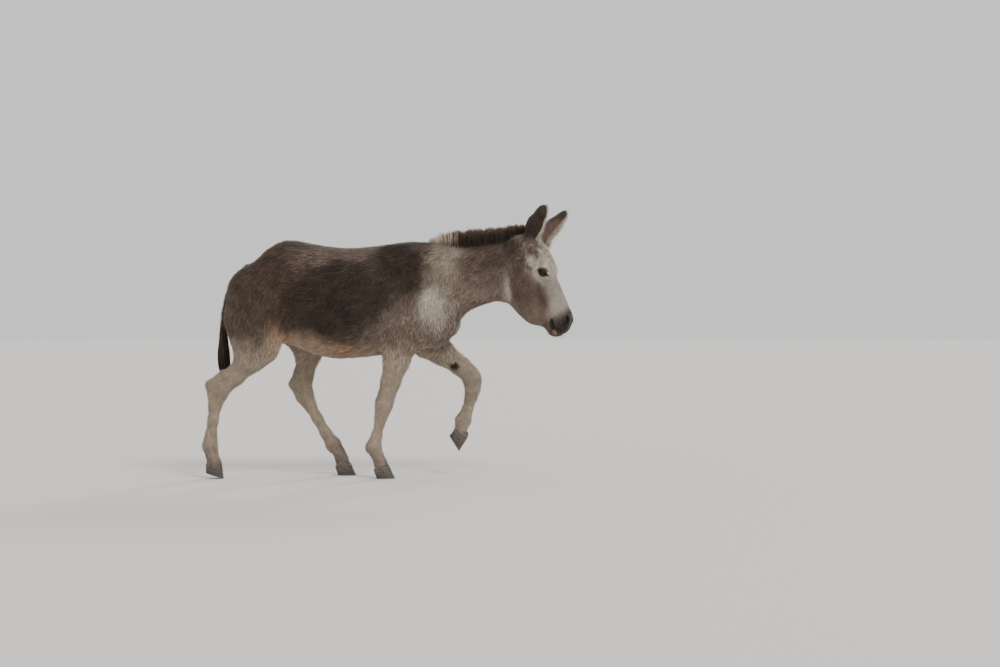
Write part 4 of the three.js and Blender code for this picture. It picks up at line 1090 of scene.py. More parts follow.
middles = skinBody[skinTris].mean(axis=1)
faceZone = {key: zone[key][skinTris].mean(axis=1) for key in ("head", "ear", "tail")}
faceSheet = sheetOf(middles, faceZone)
faceInside = (skinFacing[skinTris].mean(axis=1) > 0).astype(float)
_, faceRing = unwrap(middles, faceSheet)
corners = []
for corner in range(3):
    s, ring = unwrap(skinBody[skinTris[:, corner]], faceSheet)
    ring = faceRing + (ring - faceRing + math.pi) % (2 * math.pi) - math.pi
    corners.append(place2d(s, ring, faceSheet, faceInside))
skinUv = np.stack(corners, axis=1)


def addNode(tree, kind, inputs, operation=None):
    # a shader node; each input is a value or the output that feeds it
    node = tree.nodes.new("ShaderNode" + kind)
    if operation:
        node.operation = operation
    for key, value in inputs.items():
        if isinstance(value, bpy.types.NodeSocket):
            tree.links.new(value, node.inputs[key])
        else:
            node.inputs[key].default_value = value
    return node


def newMaterial(name, inputs):
    material = bpy.data.materials.new(name)
    material.use_nodes = True
    tree = material.node_tree
    tree.nodes.clear()
    shader = addNode(tree, "BsdfPrincipled", inputs)
    addNode(tree, "OutputMaterial", {"Surface": shader.outputs[0]})
    return material, tree, shader


def readAttribute(tree, name):
    node = addNode(tree, "Attribute", {})
    node.attribute_name = name
    return node.outputs


def makeHairGroup():
    # fine streaks of light and dark hair over a colour
    group = bpy.data.node_groups.new("hairGrain", "ShaderNodeTree")
    for name, way, kind in (("Color", "INPUT", "Color"), ("Point", "INPUT", "Vector"),
                            ("Fineness", "INPUT", "Float"), ("Contrast", "INPUT", "Float"),
                            ("Color", "OUTPUT", "Color"), ("Height", "OUTPUT", "Float")):
        group.interface.new_socket(name, in_out=way, socket_type="NodeSocket" + kind)
    start = group.nodes.new("NodeGroupInput").outputs
    end = group.nodes.new("NodeGroupOutput").inputs
    grain = addNode(group, "TexNoise", {"Detail": 3.0, "Roughness": 0.6, "Vector": start["Point"],
                                        "Scale": start["Fineness"]})
    centred = addNode(group, "Math", {0: grain.outputs["Fac"], 1: 0.5}, "SUBTRACT")
    scaled = addNode(group, "Math", {0: centred.outputs[0], 1: start["Contrast"]}, "MULTIPLY")
    lifted = addNode(group, "Math", {0: scaled.outputs[0], 1: 1.0}, "ADD")
    tinted = addNode(group, "VectorMath", {}, "SCALE")
    group.links.new(start["Color"], tinted.inputs[0])
    group.links.new(lifted.outputs[0], tinted.inputs["Scale"])
    group.links.new(tinted.outputs[0], end["Color"])
    group.links.new(grain.outputs["Fac"], end["Height"])
    return group


hairGrain = makeHairGroup()


def coatMaterial(name, fineness, contrast, roughness, bump, sheen, gloss):
    material, tree, shader = newMaterial(name, {"Roughness": roughness, "Sheen Weight": sheen,
                                                "Sheen Roughness": 0.5, "Specular IOR Level": gloss})
    grain = tree.nodes.new("ShaderNodeGroup")
    grain.node_tree = hairGrain
    grain.inputs["Fineness"].default_value = fineness
    grain.inputs["Contrast"].default_value = contrast
    place = addNode(tree, "TexCoord", {}).outputs["Object"]
    tree.links.new(readAttribute(tree, "coatColor")["Color"], grain.inputs["Color"])
    tree.links.new(place, grain.inputs["Point"])
    tree.links.new(grain.outputs["Color"], shader.inputs["Base Color"])
    if bump:
        height = addNode(tree, "Bump", {"Strength": bump, "Distance": 0.002,
                                        "Height": grain.outputs["Height"]})
        tree.links.new(height.outputs["Normal"], shader.inputs["Normal"])
    return material


# fineness and contrast of the streaks, roughness, bump, sheen, gloss
skinMaterial = coatMaterial("shortHairOverSkin", 420.0, 0.7, 0.7, 0.6, 0.1, 0.25)
furMaterial = coatMaterial("coatHair", 300.0, 0.35, 0.75, 0.0, 0.25, 0.25)
maneMaterial = coatMaterial("maneHair", 200.0, 0.5, 0.7, 0.0, 0.04, 0.12)

skinShade = 0.8  # the skin is darker than the hair over it
skin = buildMesh("skin", skinCo, skinTris, skinColors * skinShade, skinUv.reshape(-1, 2))
finishPiece(skin, skinMaterial, fleshNames)
print("skin built:", len(skinTris), "faces")

# x, |y|, z, then the way the hair lies there, then how far the guide reaches
lieGuides = [
    (-300, 20, 1180, -1.0, 0.25, -0.2, 180), (-300, 200, 1050, -0.9, 0.0, -0.45, 180),
    (-300, 210, 850, -0.85, 0.0, -0.55, 180), (-300, 120, 640, -0.9, -0.3, -0.25, 180),
    (-600, 60, 1190, -0.9, 0.35, -0.35, 150), (-700, 130, 1000, -0.55, 0.1, -0.85, 150),
    (-760, 100, 850, -0.3, 0.0, -1.0, 150), (-680, 150, 740, -0.25, 0.0, -1.0, 140),
    (-540, 190, 860, -0.6, 0.0, -0.75, 110), (0, 40, 1190, -1.0, 0.35, -0.3, 130),
    (40, 130, 1000, -0.65, 0.0, -0.8, 150), (60, 150, 800, -0.3, 0.0, -1.0, 140),
    (200, 120, 830, -0.1, 0.0, -1.0, 120), (260, 60, 740, -0.1, 0.3, -1.0, 110),
    (0, 120, 640, -0.1, 0.0, -1.0, 120), (300, 95, 1000, -0.6, 0.0, -0.8, 140),
    (300, 30, 1170, -0.8, 0.5, -0.5, 110), (480, 85, 1080, -0.75, 0.0, -0.65, 140),
    (480, 30, 1190, -0.75, 0.5, -0.6, 110), (450, 60, 930, -0.6, 0.0, -0.75, 120),
    (600, 70, 1100, -0.6, 0.0, -0.8, 90), (-100, 110, 640, -0.85, -0.2, -0.4, 100),
]
lieSettings = {
    "legMargin": 90.0, "tail": (-0.15, 0, -1.0),
    "whorl": (128.0, 70.0, 48.0),  # its place down the face, and its reach down and across
    "browSides": ((0, 60, 200), (0.35, 0.75, 1.0)), "swirl": ((90, 21, 0.7), (30, 22, 0.5)),
}


def lieOf(body, normals, zone):
    x, y, z = body.T
    side = np.where(y < 0, -1.0, 1.0)
    total = np.zeros_like(body)
    for gx, gy, gz, dx, dy, dz, reach in lieGuides:
        weight = 1 / (((x - gx) ** 2 + (np.abs(y) - gy) ** 2 + (z - gz) ** 2) / reach ** 2 + 0.05) ** 2
        total += np.stack([dx * weight, dy * weight * side, dz * weight], axis=1)
    total = unit(total)
    for joints in legJoints.values():
        line = np.array(sorted(joints, key=lambda joint: joint[2]), float)
        low, high = line[:, 0].min() - lieSettings["legMargin"], line[:, 0].max() + lieSettings["legMargin"]
        here = (np.sign(y) == np.sign(line[0, 1])) & (x > low) & (x < high)
        lean = -np.interp(z, line[:, 2], np.gradient(line[:, 0], line[:, 2]))
        down = unit(np.stack([lean, np.zeros(len(x)), -np.ones(len(x))], axis=1))
        total += (down - total) * (zone["leg"] * here)[:, None]
    u, v, w = zone["u"], zone["v"], zone["w"]
    # the hair of the forehead turns out from one place between and above the eyes
    place, along, across = lieSettings["whorl"]
    du, dw = (u - place) / along, w / across
    far = np.maximum(np.hypot(du, dw), 0.3)
    top = headTurn(du / far, np.zeros(len(u)), dw / far)
    sideways = headTurn(np.interp(u, *lieSettings["browSides"]), -0.35 + 0 * u,
                        np.clip(w / 60, -1, 1) * 0.3)
    crown = past("foreheadTop", v) * (1 - past("foreheadEnd", u))
    facial = sideways + (top - sideways) * crown[:, None]
    nose = past("noseFrom", u) * past("foreheadTop", v)
    facial = facial + headTurn(0.6 + 0 * u, 0, 0) * nose[:, None]
    total += (facial - total) * zone["head"][:, None]
    for name in earFrames:
        mine = (y < 8) if name == "ear_right" else (y >= 8)
        total += (earAxes(name)[1] - total) * (zone["ear"] * mine)[:, None]
    total += (np.array(lieSettings["tail"]) - total) * zone["tail"][:, None]
    # slow turns of the coat, so that it never lies all one way
    swirl = sum((cloud(body, size, seed) - 0.5) * amount for size, seed, amount in lieSettings["swirl"])
    swirl = swirl * (1 - 0.6 * np.maximum(zone["leg"], zone["ear"]))
    flat = unit(total - (total * normals).sum(axis=1)[:, None] * normals)
    return turned(flat, normals, swirl)


def turned(lie, normals, angle):
    return unit(lie * np.cos(angle)[:, None] + np.cross(normals, lie) * np.sin(angle)[:, None])


skinLie = lieOf(skinBody, skinNormals, zone)

tuftSettings = {
    "tryEach": 3.2,  # tries for each tuft that is kept
    "bodySpacing": 4.9, "legSpacing": 4.3, "headSpacing": 3.7, "browCloser": 0.3, "faceSpacing": 2.9,
    "earSpacing": 3.9, "cell": 1.18,  # of the spacing: one tuft in each such cell
    "clump": 10.0,  # millimetres between the middles of locks
    "gather": 0.30,  # how far the tips of a lock draw together
    "rise": (0.66, 0.26),  # lift of the middle and of the tip, in radians
    "foot": (0.12, 1.4),  # how deep the foot stands in the skin
    "crown": {"clump": 0.9, "turn": 1.3, "length": 4.0, "rise": (0.12, 0.08), "shade": 0.16},
    "inEar": {"length": 9.0, "rise": 0.35}, "jowl": 12.0, "fetlock": 15.0, "lid": 0.6,
    "breast": (262, 700, 0.4),  # where the hair is shorter over the notch, and by what share
    "frost": (0.22, 0.12, 0.7),  # share of dark hairs with pale tips, how dark, and how pale
    "stepTones": (0.62, 0.66, 0.62, 0.95, 1.0, 0.95, 1.16), "uvReach": 0.0015,
    "mostInPiece": 21800,
}


def pick(values, tris, weights):
    # values at places inside triangles
    return sum(values[tris[:, k]] * (weights[:, k] if values.ndim == 1 else weights[:, k:k + 1])
               for k in range(3))


def cellCode(body, size):
    # one number for each cell of that size
    key = np.floor(body / size[:, None]).astype(np.int64)
    return (key[:, 0] * 4099 + key[:, 1]) * 4099 + key[:, 2]


def spacingOf(zone):
    s = np.full(len(zone["u"]), tuftSettings["bodySpacing"])
    s += (tuftSettings["legSpacing"] - s) * zone["leg"]
    poll = tuftSettings["headSpacing"]
    face = np.interp(zone["u"], (60, 200, 420),
                     (poll, poll - tuftSettings["browCloser"], tuftSettings["faceSpacing"]))
    s += (face - s) * zone["head"]
    return s + (tuftSettings["earSpacing"] - s) * zone["ear"]


def sampleRoots():
    a, b, c = (skinCo[skinTris[:, k]] * 1000 for k in range(3))
    area = np.linalg.norm(np.cross(b - a, c - a), axis=1) / 2
    spacing = spacingOf({key: zone[key][skinTris].mean(axis=1) for key in ("u", "leg", "head", "ear")})
    chance = area / spacing ** 2
    total = int(chance.sum() * tuftSettings["tryEach"])
    tri = dice.choice(len(skinTris), total, p=chance / chance.sum())
    r1, r2 = np.sqrt(dice.random(total)), dice.random(total)
    weights = np.stack([1 - r1, r1 * (1 - r2), r1 * r2], axis=1)
    corners = skinTris[tri]
    place = pick(skinBody, corners, weights)
    step = np.round(spacing[tri] * 2) / 2
    code = cellCode(place, step * tuftSettings["cell"]) * 64 + (step * 2).astype(np.int64)
    _, keep = np.unique(code, return_index=True)
    corners, weights, tri = corners[keep], weights[keep], tri[keep]
    # the end of the dock is inside the switch
    x, y, z = place[keep].T
    dockEnd = (x < -850) & (np.abs(y) < 45) & (z > 600) & (z < 725)
    shown = (pick(skinBare, corners, weights) < 0.35) & ~dockEnd
    return corners[shown], weights[shown], tri[shown]


rootCorners, rootWeights, rootTri = sampleRoots()
root = {
    "body": pick(skinBody, rootCorners, rootWeights),
    "normal": unit(pick(skinNormals, rootCorners, rootWeights)),
    "lie": unit(pick(skinLie, rootCorners, rootWeights)),
    "color": pick(skinColors, rootCorners, rootWeights),
    "facing": pick(skinFacing, rootCorners, rootWeights),
    "uv": (skinUv[rootTri] * rootWeights[:, :, None]).sum(axis=1),
}
for key in ("depth", "length", "head", "leg", "ear", "u", "v", "w"):
    root[key] = pick(zone[key], rootCorners, rootWeights)
root["crown"] = root["head"] * (1 - smooth(120, 185, root["u"])) * smooth(-75, -25, root["v"])
root["crown"] = root["crown"] * (1 - root["ear"])
print("tuft roots:", len(root["u"]))


def gatherInLocks():
    # the root that each tuft's tip leans towards
    size = tuftSettings["clump"] * np.clip(root["length"] / 30.0, 0.35, 1.2)
    size = size * (1 + tuftSettings["crown"]["clump"] * root["crown"])
    code = cellCode(root["body"], np.round(size / 3) * 3)
    order = dice.permutation(len(code))
    _, first = np.unique(code[order], return_index=True)
    seeds = order[first]
    tree = KDTree(len(seeds))
    for index, place in enumerate(root["body"][seeds]):
        tree.insert(place, index)
    tree.balance()
    nearest = np.fromiter((tree.find(p)[1] for p in root["body"]), np.int64, len(root["body"]))
    return seeds[nearest]


leader = gatherInLocks()
count = len(leader)
lockShade = dice.normal(0, 1, count)[leader]
lockTurn = dice.normal(0, 0.22, count)[leader]
lockRise = dice.normal(0, 0.10, count)[leader]


def tuftLength(inEar):
    # longer inside the ears, on the jowl and forehead and behind the fetlocks, shorter at the lids
    m = tuftSettings
    length = root["length"] * vary(count, 0.16, 0.55, 1.5) + inEar * m["inEar"]["length"]
    jowl = root["head"] * past("jowlStart", root["u"]) * (1 - past("jowlEnd", root["u"]))
    jowl = jowl * (1 - past("jowlTop", root["v"]))
    length = length + jowl * m["jowl"] + root["crown"] * m["crown"]["length"]
    for side in (-1, 1):
        a, b, _ = eyePlace(root["body"], side)
        onLid = (1 - smooth(5, 26, lidEdge(a, b))) * root["head"] * (root["w"] * side > 0)
        length = length * (1 - m["lid"] * onLid)
    x, z, share = m["breast"]
    breast = np.hypot(root["body"][:, 0] - x, root["body"][:, 2] - z)
    length = length * (1 - share * (1 - smooth(30, 70, breast)))
    for joints in legJoints.values():
        fetlock = root["body"] - np.array(joints[legShape["fetlock"][0]][:3], float)
        near = np.linalg.norm(fetlock, axis=1) < 60
        length = length + m["fetlock"] * near * smooth(4, 26, -fetlock[:, 0])
    return length


def makeTufts():
    # each tuft is a low wedge of seven points: three at its foot, three half way and the tip
    m, n = tuftSettings, root["normal"]
    crown = m["crown"]
    turn = lockTurn + dice.normal(0, 0.14, count)
    turn = turn * (1 - 0.6 * np.maximum(root["leg"], root["head"]) + crown["turn"] * root["crown"])
    lie = turned(root["lie"], n, turn)
    across = np.cross(n, lie)
    inEar = smooth(-0.35, 0.25, root["facing"]) * root["ear"]
    length = tuftLength(inEar)
    width = np.clip(length * 0.1, 1.1, 3.2) * vary(count, 0.2, 0.6, 1.5)
    fit = np.clip(root["depth"] / np.maximum(length * 0.42, 1e-6), 0.25, 1.25)
    rises = []
    for k, (follow, spread, low, high) in enumerate(((1.0, 0.08, 0.12, 1.15), (0.8, 0.06, 0.05, 0.9))):
        rise = m["rise"][k] * fit + lockRise * follow + dice.normal(0, spread, count)
        rises.append(np.clip(rise, low, high) + inEar * m["inEar"]["rise"]
                     + root["crown"] * crown["rise"][k])
    deep, most = m["foot"]
    foot = root["body"] - n * np.minimum(root["depth"] * deep, most)[:, None]
    middle, tip = (foot + (lie * np.cos(rise)[:, None] + n * np.sin(rise)[:, None])
                   * (length * share)[:, None] for share, rise in zip((0.5, 1.0), rises))
    # the tips of a lock draw together
    pull = tip[leader] - tip
    limit = np.minimum(1.0, length * 0.9 / np.maximum(np.linalg.norm(pull, axis=1), 1e-6))
    gather = m["gather"] * limit * (1 - 0.5 * root["head"])
    tip = tip + pull * gather[:, None]
    middle = middle + pull * (gather * 0.25)[:, None]
    half, ridge = width / 2, width * 0.32
    rows = []
    for centre, size in ((foot, 1.0), (middle, 0.85)):
        rows += [centre - across * (half * size)[:, None], centre + n * (ridge * size)[:, None],
                 centre + across * (half * size)[:, None]]
    verts = np.stack([*rows, tip], axis=1)
    left, right = unit(n - across * 0.75), unit(n + across * 0.75)
    soft = unit(n * 0.85 + lie * 0.25)
    normals = np.stack([left, n, right, left, n, right, soft], axis=1)
    shade = 1 + lockShade * (0.13 - 0.04 * root["head"] + crown["shade"] * root["crown"])
    shade = shade + dice.normal(0, 0.14, count)
    share, dark, pale = m["frost"]
    dark = root["color"].mean(axis=1) < dark
    shade = shade + (dice.random(count) < share) * dark * dice.random(count) * pale
    tint = root["color"] * np.clip(shade, 0.6, 2.0)[:, None]
    colors = tint[:, None, :] * np.array(m["stepTones"])[None, :, None]
    offsets = np.array([(-1, -1), (0, -1), (1, -1), (-1, 0), (0, 0), (1, 0), (0, 1)]) * m["uvReach"]
    return verts, normals, colors, root["uv"][:, None, :] + offsets[None, :, :]


tuftFaces = np.array([
    (0, 4, 1), (0, 3, 4), (1, 5, 2), (1, 4, 5), (2, 3, 0), (2, 5, 3), (3, 6, 4), (4, 6, 5), (5, 6, 3)])
under = np.array([4, 5, 8])  # the faces that look down at the skin
tuftVerts, tuftNormals, tuftColors, tuftUv = makeTufts()

# each stretch of the coat is a piece of its own, small enough to keep every face
stretches = {
    "coatEars": ("ear_coat", root["ear"] > 0.4),
    "coatHead": ("head_coat", root["head"] > 0.5),
    "coatForelegs": ("leg_coat", (root["leg"] > 0.4) & (root["body"][:, 0] > -200)),
    "coatHindLegs": ("leg_coat", (root["leg"] > 0.4) & (root["body"][:, 0] <= -200)),
    "coatBody": ("body_coat", np.ones(count, bool)),
}
taken = np.zeros(count, bool)
for name, (slot, wanted) in stretches.items():
    ids = np.nonzero(wanted & ~taken)[0]
    taken[ids] = True
    ids = ids[np.argsort(root["body"][ids, 0])]
    parts = max(1, math.ceil(len(ids) / tuftSettings["mostInPiece"]))
    for number, chunk in enumerate(np.array_split(ids, parts)):
        faces = (tuftFaces[None, :, :] + (np.arange(len(chunk)) * 7)[:, None, None]).reshape(-1, 3)
        uv = tuftUv[chunk][:, tuftFaces].reshape(-1, 2)
        corners = tuftNormals[chunk][:, tuftFaces]
        a, b, c = (tuftVerts[chunk][:, tuftFaces[under, k]] for k in range(3))
        corners[:, under] = np.cross(b - a, c - a)[:, :, None, :]
        label = name if parts == 1 else f"{name}{number + 1}"
        piece = buildMesh(label, toFrame(tuftVerts[chunk].reshape(-1, 3)), faces,
                          tuftColors[chunk].reshape(-1, 3), uv, unit(corners))
        finishPiece(piece, furMaterial)
        print(label, len(faces), "faces")


# long hair is made of locks: closed blades that run along a path of their own
def buildLocks(name, material, paths, taper, thick, across, colors, uv, nodes=()):
    # paths: lock, place along it, xyz; the last place is the tip
    widths = np.reshape(taper, (-1, len(paths[0]))) * np.reshape(thick, (-1, 1))
    count, steps = paths.shape[:2]
    forward = unit(np.gradient(paths, axis=1))
    across = unit(across[:, None, :] - (across[:, None, :] * forward).sum(axis=2, keepdims=True) * forward)
    half = widths[:, :, None] / 2
    top = paths + np.cross(forward, across) * half * 0.8
    rings = np.stack([paths - across * half, top, paths + across * half], axis=2)[:, :-1]
    verts = np.concatenate([rings.reshape(count, -1, 3), paths[:, -1:]], axis=1)
    faces, sides = [], ((0, 1), (1, 2), (2, 0))
    for low in range(0, (steps - 2) * 3, 3):
        for a, b in sides:
            high = low + 3
            faces += [(high + b, low + b, low + a), (high + a, high + b, low + a)]
    last, end = (steps - 2) * 3, (steps - 1) * 3
    faces = np.array(faces + [(end, last + b, last + a) for a, b in sides])
    allFaces = (faces[None] + (np.arange(count) * verts.shape[1])[:, None, None]).reshape(-1, 3)
    tints = np.concatenate([np.repeat(colors[:, :-1], 3, axis=1), colors[:, -1:]], axis=1)
    place = np.stack([np.tile([-1, 0, 1], steps - 1), np.repeat(np.linspace(-1, 1, steps)[:-1], 3)], axis=1)
    place = np.concatenate([place, [[0, 1]]]) * tuftSettings["uvReach"]
    allUv = (uv[:, None, :] + place[None])[:, faces].reshape(-1, 2)
    piece = buildMesh(name, toFrame(verts.reshape(-1, 3)), allFaces, tints.reshape(-1, 3), allUv)
    print(name, len(allFaces), "faces")
    return finishPiece(piece, material, nodes)


def blendTones(tones, share, count):
    # from the first tone to the second along each of the locks
    first, second = (np.array(tone) for tone in tones)
    return first + (second - first) * (share * np.ones((count, 1)))[..., None]


def level(x, y):
    return np.stack([x, y, np.zeros(len(x))], axis=1)


def bentPaths(foot, flow, bend, length, steps):
    # from the foot along flow, turning towards bend
    along = flow[:, None] * (1 - steps[None, :, None]) + bend[:, None] * steps[None, :, None]
    return foot[:, None] + along * (length[:, None] * steps)[:, :, None]


# the mane is a stiff upright brush, with loose pale spikes in front of the withers
maneSettings = {
    "x": (150, 178, 225, 290, 400, 520, 600, 645, 668),
    "tip": (1204, 1234, 1262, 1268, 1277, 1284, 1295, 1295, 1266),
    "count": 4300, "from": 152, "to": 662, "halfWidth": 7.5, "width": 4.8,
    "taper": (0.8, 1.0, 0.8, 0.5, 0),
    "kept": ((150, 215, 260, 300), (0.3, 0.45, 0.7, 1.0)),  # share of the locks, by x
    "broad": ((150, 240, 620, 668), (0.5, 1, 1, 0.7)),
    "ragged": ((150, 240, 300), (0.26, 0.22, 0.13)),
    "lean": -0.06, "rearLean": 0.42, "rearEnd": (165, 265), "sway": ((26, 31, 0.22), (9, 32, 0.14)),
    "uneven": (0.90, 0.18), "bow": 1.6,
    "pale": (225, 305, 26.0), "darkSteps": 6,
    # the dark locks grow lighter and warmer towards the tip: partly the hair's own tips, partly a painted
    # glow of backlight
    "dark": ((0.034, 0.023, 0.015), (0.175, 0.110, 0.076)),
    "light": ((0.15, 0.10, 0.075), (0.78, 0.62, 0.49)),
}


def crestAt(x):
    # height of the skin along the middle of the neck
    near = np.abs(skinBody[:, 1]) < 9
    top = skinBody[near & (skinNormals[:, 2] > 0.5)]
    order = np.argsort(top[:, 0])
    return np.interp(x, top[order, 0], top[order, 2])


def makeMane():
    m = maneSettings
    x = dice.uniform(m["from"], m["to"], m["count"])
    x = x[dice.random(len(x)) < np.interp(x, *m["kept"])]
    n = len(x)
    y = dice.normal(0, 1, n) * m["halfWidth"] * np.interp(x, *m["broad"])
    foot = crestAt(x) - 5 - np.abs(y) * 0.25
    height = np.interp(x, m["x"], m["tip"]) - foot
    height = height * np.clip(1 - np.abs(dice.normal(0, 1, n)) * np.interp(x, *m["ragged"]), 0.5, 1)
    height *= 1 - 0.012 * np.abs(y)
    locks = level(x, y * 0.6)
    sway = sum((cloud(locks, size, seed) - 0.5) * amount for size, seed, amount in m["sway"])
    lean = m["lean"] + sway + dice.normal(0, 0.07, n) - m["rearLean"] * (1 - smooth(*m["rearEnd"], x))
    height = height * (m["uneven"][0] + m["uneven"][1] * cloud(locks, 15, 33))
    spread = y / m["halfWidth"] * 0.06 + dice.normal(0, 0.035, n)
    steps = np.linspace(0, 1, 5)
    x, y, tall, lean, spread = (k[:, None] for k in (x, y, height, lean, spread))
    paths = np.stack([
        x + tall * (lean * steps ** m["bow"]),
        y + tall * (spread * steps),
        foot[:, None] + tall * steps * np.sqrt(np.maximum(1 - (lean * steps) ** 2, 0.2))], axis=2)
    thick = vary(n, 0.2, 0.5, 1.6)
    angle = dice.uniform(0, math.pi, n)
    low, high, mixed = m["pale"]
    pale = 1 - smooth(low, high, x + dice.normal(0, mixed, n)[:, None])
    shade = vary(n, 0.2, 0.5, 1.6)[:, None, None]
    # the dark locks' lighter tips are partly the hair's own colour, partly painted backlight glow
    dark = blendTones(m["dark"], steps[None] ** m["darkSteps"], n)
    light = blendTones(m["light"], steps[None], n)
    colors = (dark + (light - dark) * pale[:, :, None]) * shade
    start, size = unwrapSettings["trunk"]
    uv = onSheet("trunk", (x[:, 0] - start) / size, 0.5 + 0.06 * y[:, 0] / 20)
    taper = m["width"] * np.array(m["taper"])
    across = level(np.cos(angle), np.sin(angle))
    return buildLocks("mane", maneMaterial, paths, taper, thick, across, colors, uv, ["mane"])


makeMane()

# the switch of the tail
tailSettings = {
    "x": (-715, -776, -836, -874, -893, -900, -902, -900, -896, -890, -886),
    "z": (1082, 1066, 1004, 920, 830, 750, 690, 630, 570, 510, 470),
    "wide": (26, 30, 29, 27, 24, 22, 27, 37, 38, 27, 6),
    "count": 1500, "steps": 7, "width": 6.0, "taper": ((0, 0.2, 0.7, 1), (0.6, 1, 0.8, 0)),
    "start": (650, 160), "end": (470, 130),  # lowest place and spread of the roots and of the tips
    "waves": 34.0, "wave": 3.0, "spread": ((0, 0.15, 1), (0.8, 1.0, 0.96)),
    "tones": ((0.080, 0.054, 0.040), (0.026, 0.018, 0.013)),
}


def makeTail():
    m, n = tailSettings, tailSettings["count"]
    start = m["start"][0] + dice.random(n) * m["start"][1]
    end = m["end"][0] + dice.random(n) ** 1.5 * m["end"][1]
    angle = dice.uniform(0, 2 * math.pi, n)
    inside = np.sqrt(dice.random(n))
    t = np.linspace(0, 1, m["steps"])[None]
    z = start[:, None] + (end - start)[:, None] * t
    x, wide = (np.interp(z, m["z"][::-1], m[key][::-1]) for key in ("x", "wide"))
    wave = m["wave"] * np.sin(z / m["waves"] + angle[:, None] * 2)
    radius = wide * inside[:, None] * np.interp(t, *m["spread"])
    paths = np.stack([x + np.cos(angle)[:, None] * radius * 0.82 + wave * 0.3,
                      np.sin(angle)[:, None] * radius + wave * 0.5, z], axis=2)
    taper, thick = m["width"] * np.interp(t, *m["taper"]), vary(n, 0.2, 0.5, 1.6)
    across = level(-np.sin(angle), np.cos(angle))
    shade = vary(n, 0.25, 0.5, 1.7)[:, None, None]
    colors = blendTones(m["tones"], np.clip(t * 2.2, 0, 1), n) * shade
    uv = onSheet("tail", np.clip((1110 - start) / 700, 0, 1), angle / (2 * math.pi))
    return buildLocks("tailSwitch", maneMaterial, paths, taper, thick, across, colors, uv,
                      ["tail_switch"])


makeTail()

# fringes along the rims of the ears, and the fluff inside them
fringeSettings = {
    "rimHairs": 1000, "fluff": 700, "rimAt": (0.03, 0.99), "fluffAt": (0.06, 0.72),
    "rimArc": (0.93, 1.0), "fluffArc": (0.35, 0.95), "rimIn": (2, 8), "fluffIn": 3.0,
    "rimLength": ((0, 0.3, 0.6, 0.85, 1), (28, 31, 23, 13, 6)),
    "fluffLength": ((0, 0.5, 0.72), (24, 20, 12)),
    "innerLonger": 1.45, "outerShorter": 0.6,
    "ahead": ((0, 0.7, 1), (0.95, 0.75, 0.2)), "messy": 0.13, "bend": 0.35, "skinIn": 2.4,
    "taper": (0.9, 1.0, 0.6, 0), "width": (0.13, 1.1, 3.0),
    "rimTones": ((0.26, 0.20, 0.155), (0.66, 0.54, 0.42)),
    "fluffTones": ((0.26, 0.21, 0.17), (0.58, 0.49, 0.40)),
}


def earPlace(name, t, angle, inwards):
    # a place on the cup of an ear, by the way up it and the angle round it from its back
    e = earSettings
    root, axis, mouth, across = earAxes(name)
    radius = np.interp(t, e["way"], e["size"]) * e["radius"]
    radius = radius * (1 - earFrames[name]["furl"] * t) - inwards
    back = -np.cos(angle)[:, None] * mouth + np.sin(angle)[:, None] * across
    broad = 1 + np.interp(t * e["length"], e["broadAt"], e["broad"])
    radius = radius * broad - fringeSettings["skinIn"]
    centre = root + axis * (t * e["length"])[:, None]
    centre = centre - mouth * np.interp(t, e["way"], e["setBack"])[:, None]
    return centre + back * radius[:, None], back, axis, mouth


def makeFringe(name):
    m, e = fringeSettings, earSettings
    rims = m["rimHairs"]
    n = rims + m["fluff"]
    t = np.concatenate([dice.uniform(*m["rimAt"], rims), dice.uniform(*m["fluffAt"], m["fluff"])])
    side = np.where(dice.random(n) < 0.5, -1.0, 1.0)
    arc = np.radians(np.interp(t, e["way"], e["arc"]))
    rim = np.arange(n) < rims
    angle = np.where(rim, side * arc * dice.uniform(*m["rimArc"], n),
                     side * arc * dice.uniform(*m["fluffArc"], n))
    inwards = np.where(rim, dice.uniform(*m["rimIn"], n), e["wall"] - m["fluffIn"])
    foot, back, axis, mouth = earPlace(name, t, angle, inwards)
    # the rim towards the other ear has the longer hair
    inner = side * (1 if name == "ear_right" else -1)
    rimLength = np.interp(t, *m["rimLength"]) * np.where(inner > 0, m["innerLonger"], m["outerShorter"])
    length = np.where(rim, rimLength, np.interp(t, *m["fluffLength"])) * vary(n, 0.2, 0.5, 1.4)
    ahead = np.interp(t, *m["ahead"])[:, None]
    flow = np.where(rim[:, None], axis * (1.1 - ahead * 0.6) + mouth * ahead + back * 0.12,
                    axis * 0.7 + mouth * 0.5 - back * 0.35)
    flow = unit(flow + dice.normal(0, m["messy"], (n, 3)))
    steps = np.linspace(0, 1, 4)
    paths = bentPaths(foot, flow, unit(flow + axis * m["bend"]), length, steps)
    share, *ends = m["width"]
    thick = np.clip(length * share, *ends)
    shade = vary(n, 0.15, 0.6, 1.4)[:, None, None]
    rimTone, fluffTone = (blendTones(m[key], steps[None], n) for key in ("rimTones", "fluffTones"))
    colors = np.where(rim[:, None, None], rimTone, fluffTone) * shade
    uv = onSheet(name, t * 0.8 + 0.1, 0.5 + 0.2 * side)
    label = "earFringeRight" if name == "ear_right" else "earFringeLeft"
    return buildLocks(label, furMaterial, paths, m["taper"], thick, np.cross(flow, back),
                      colors, uv)


for name in earFrames:
    makeFringe(name)

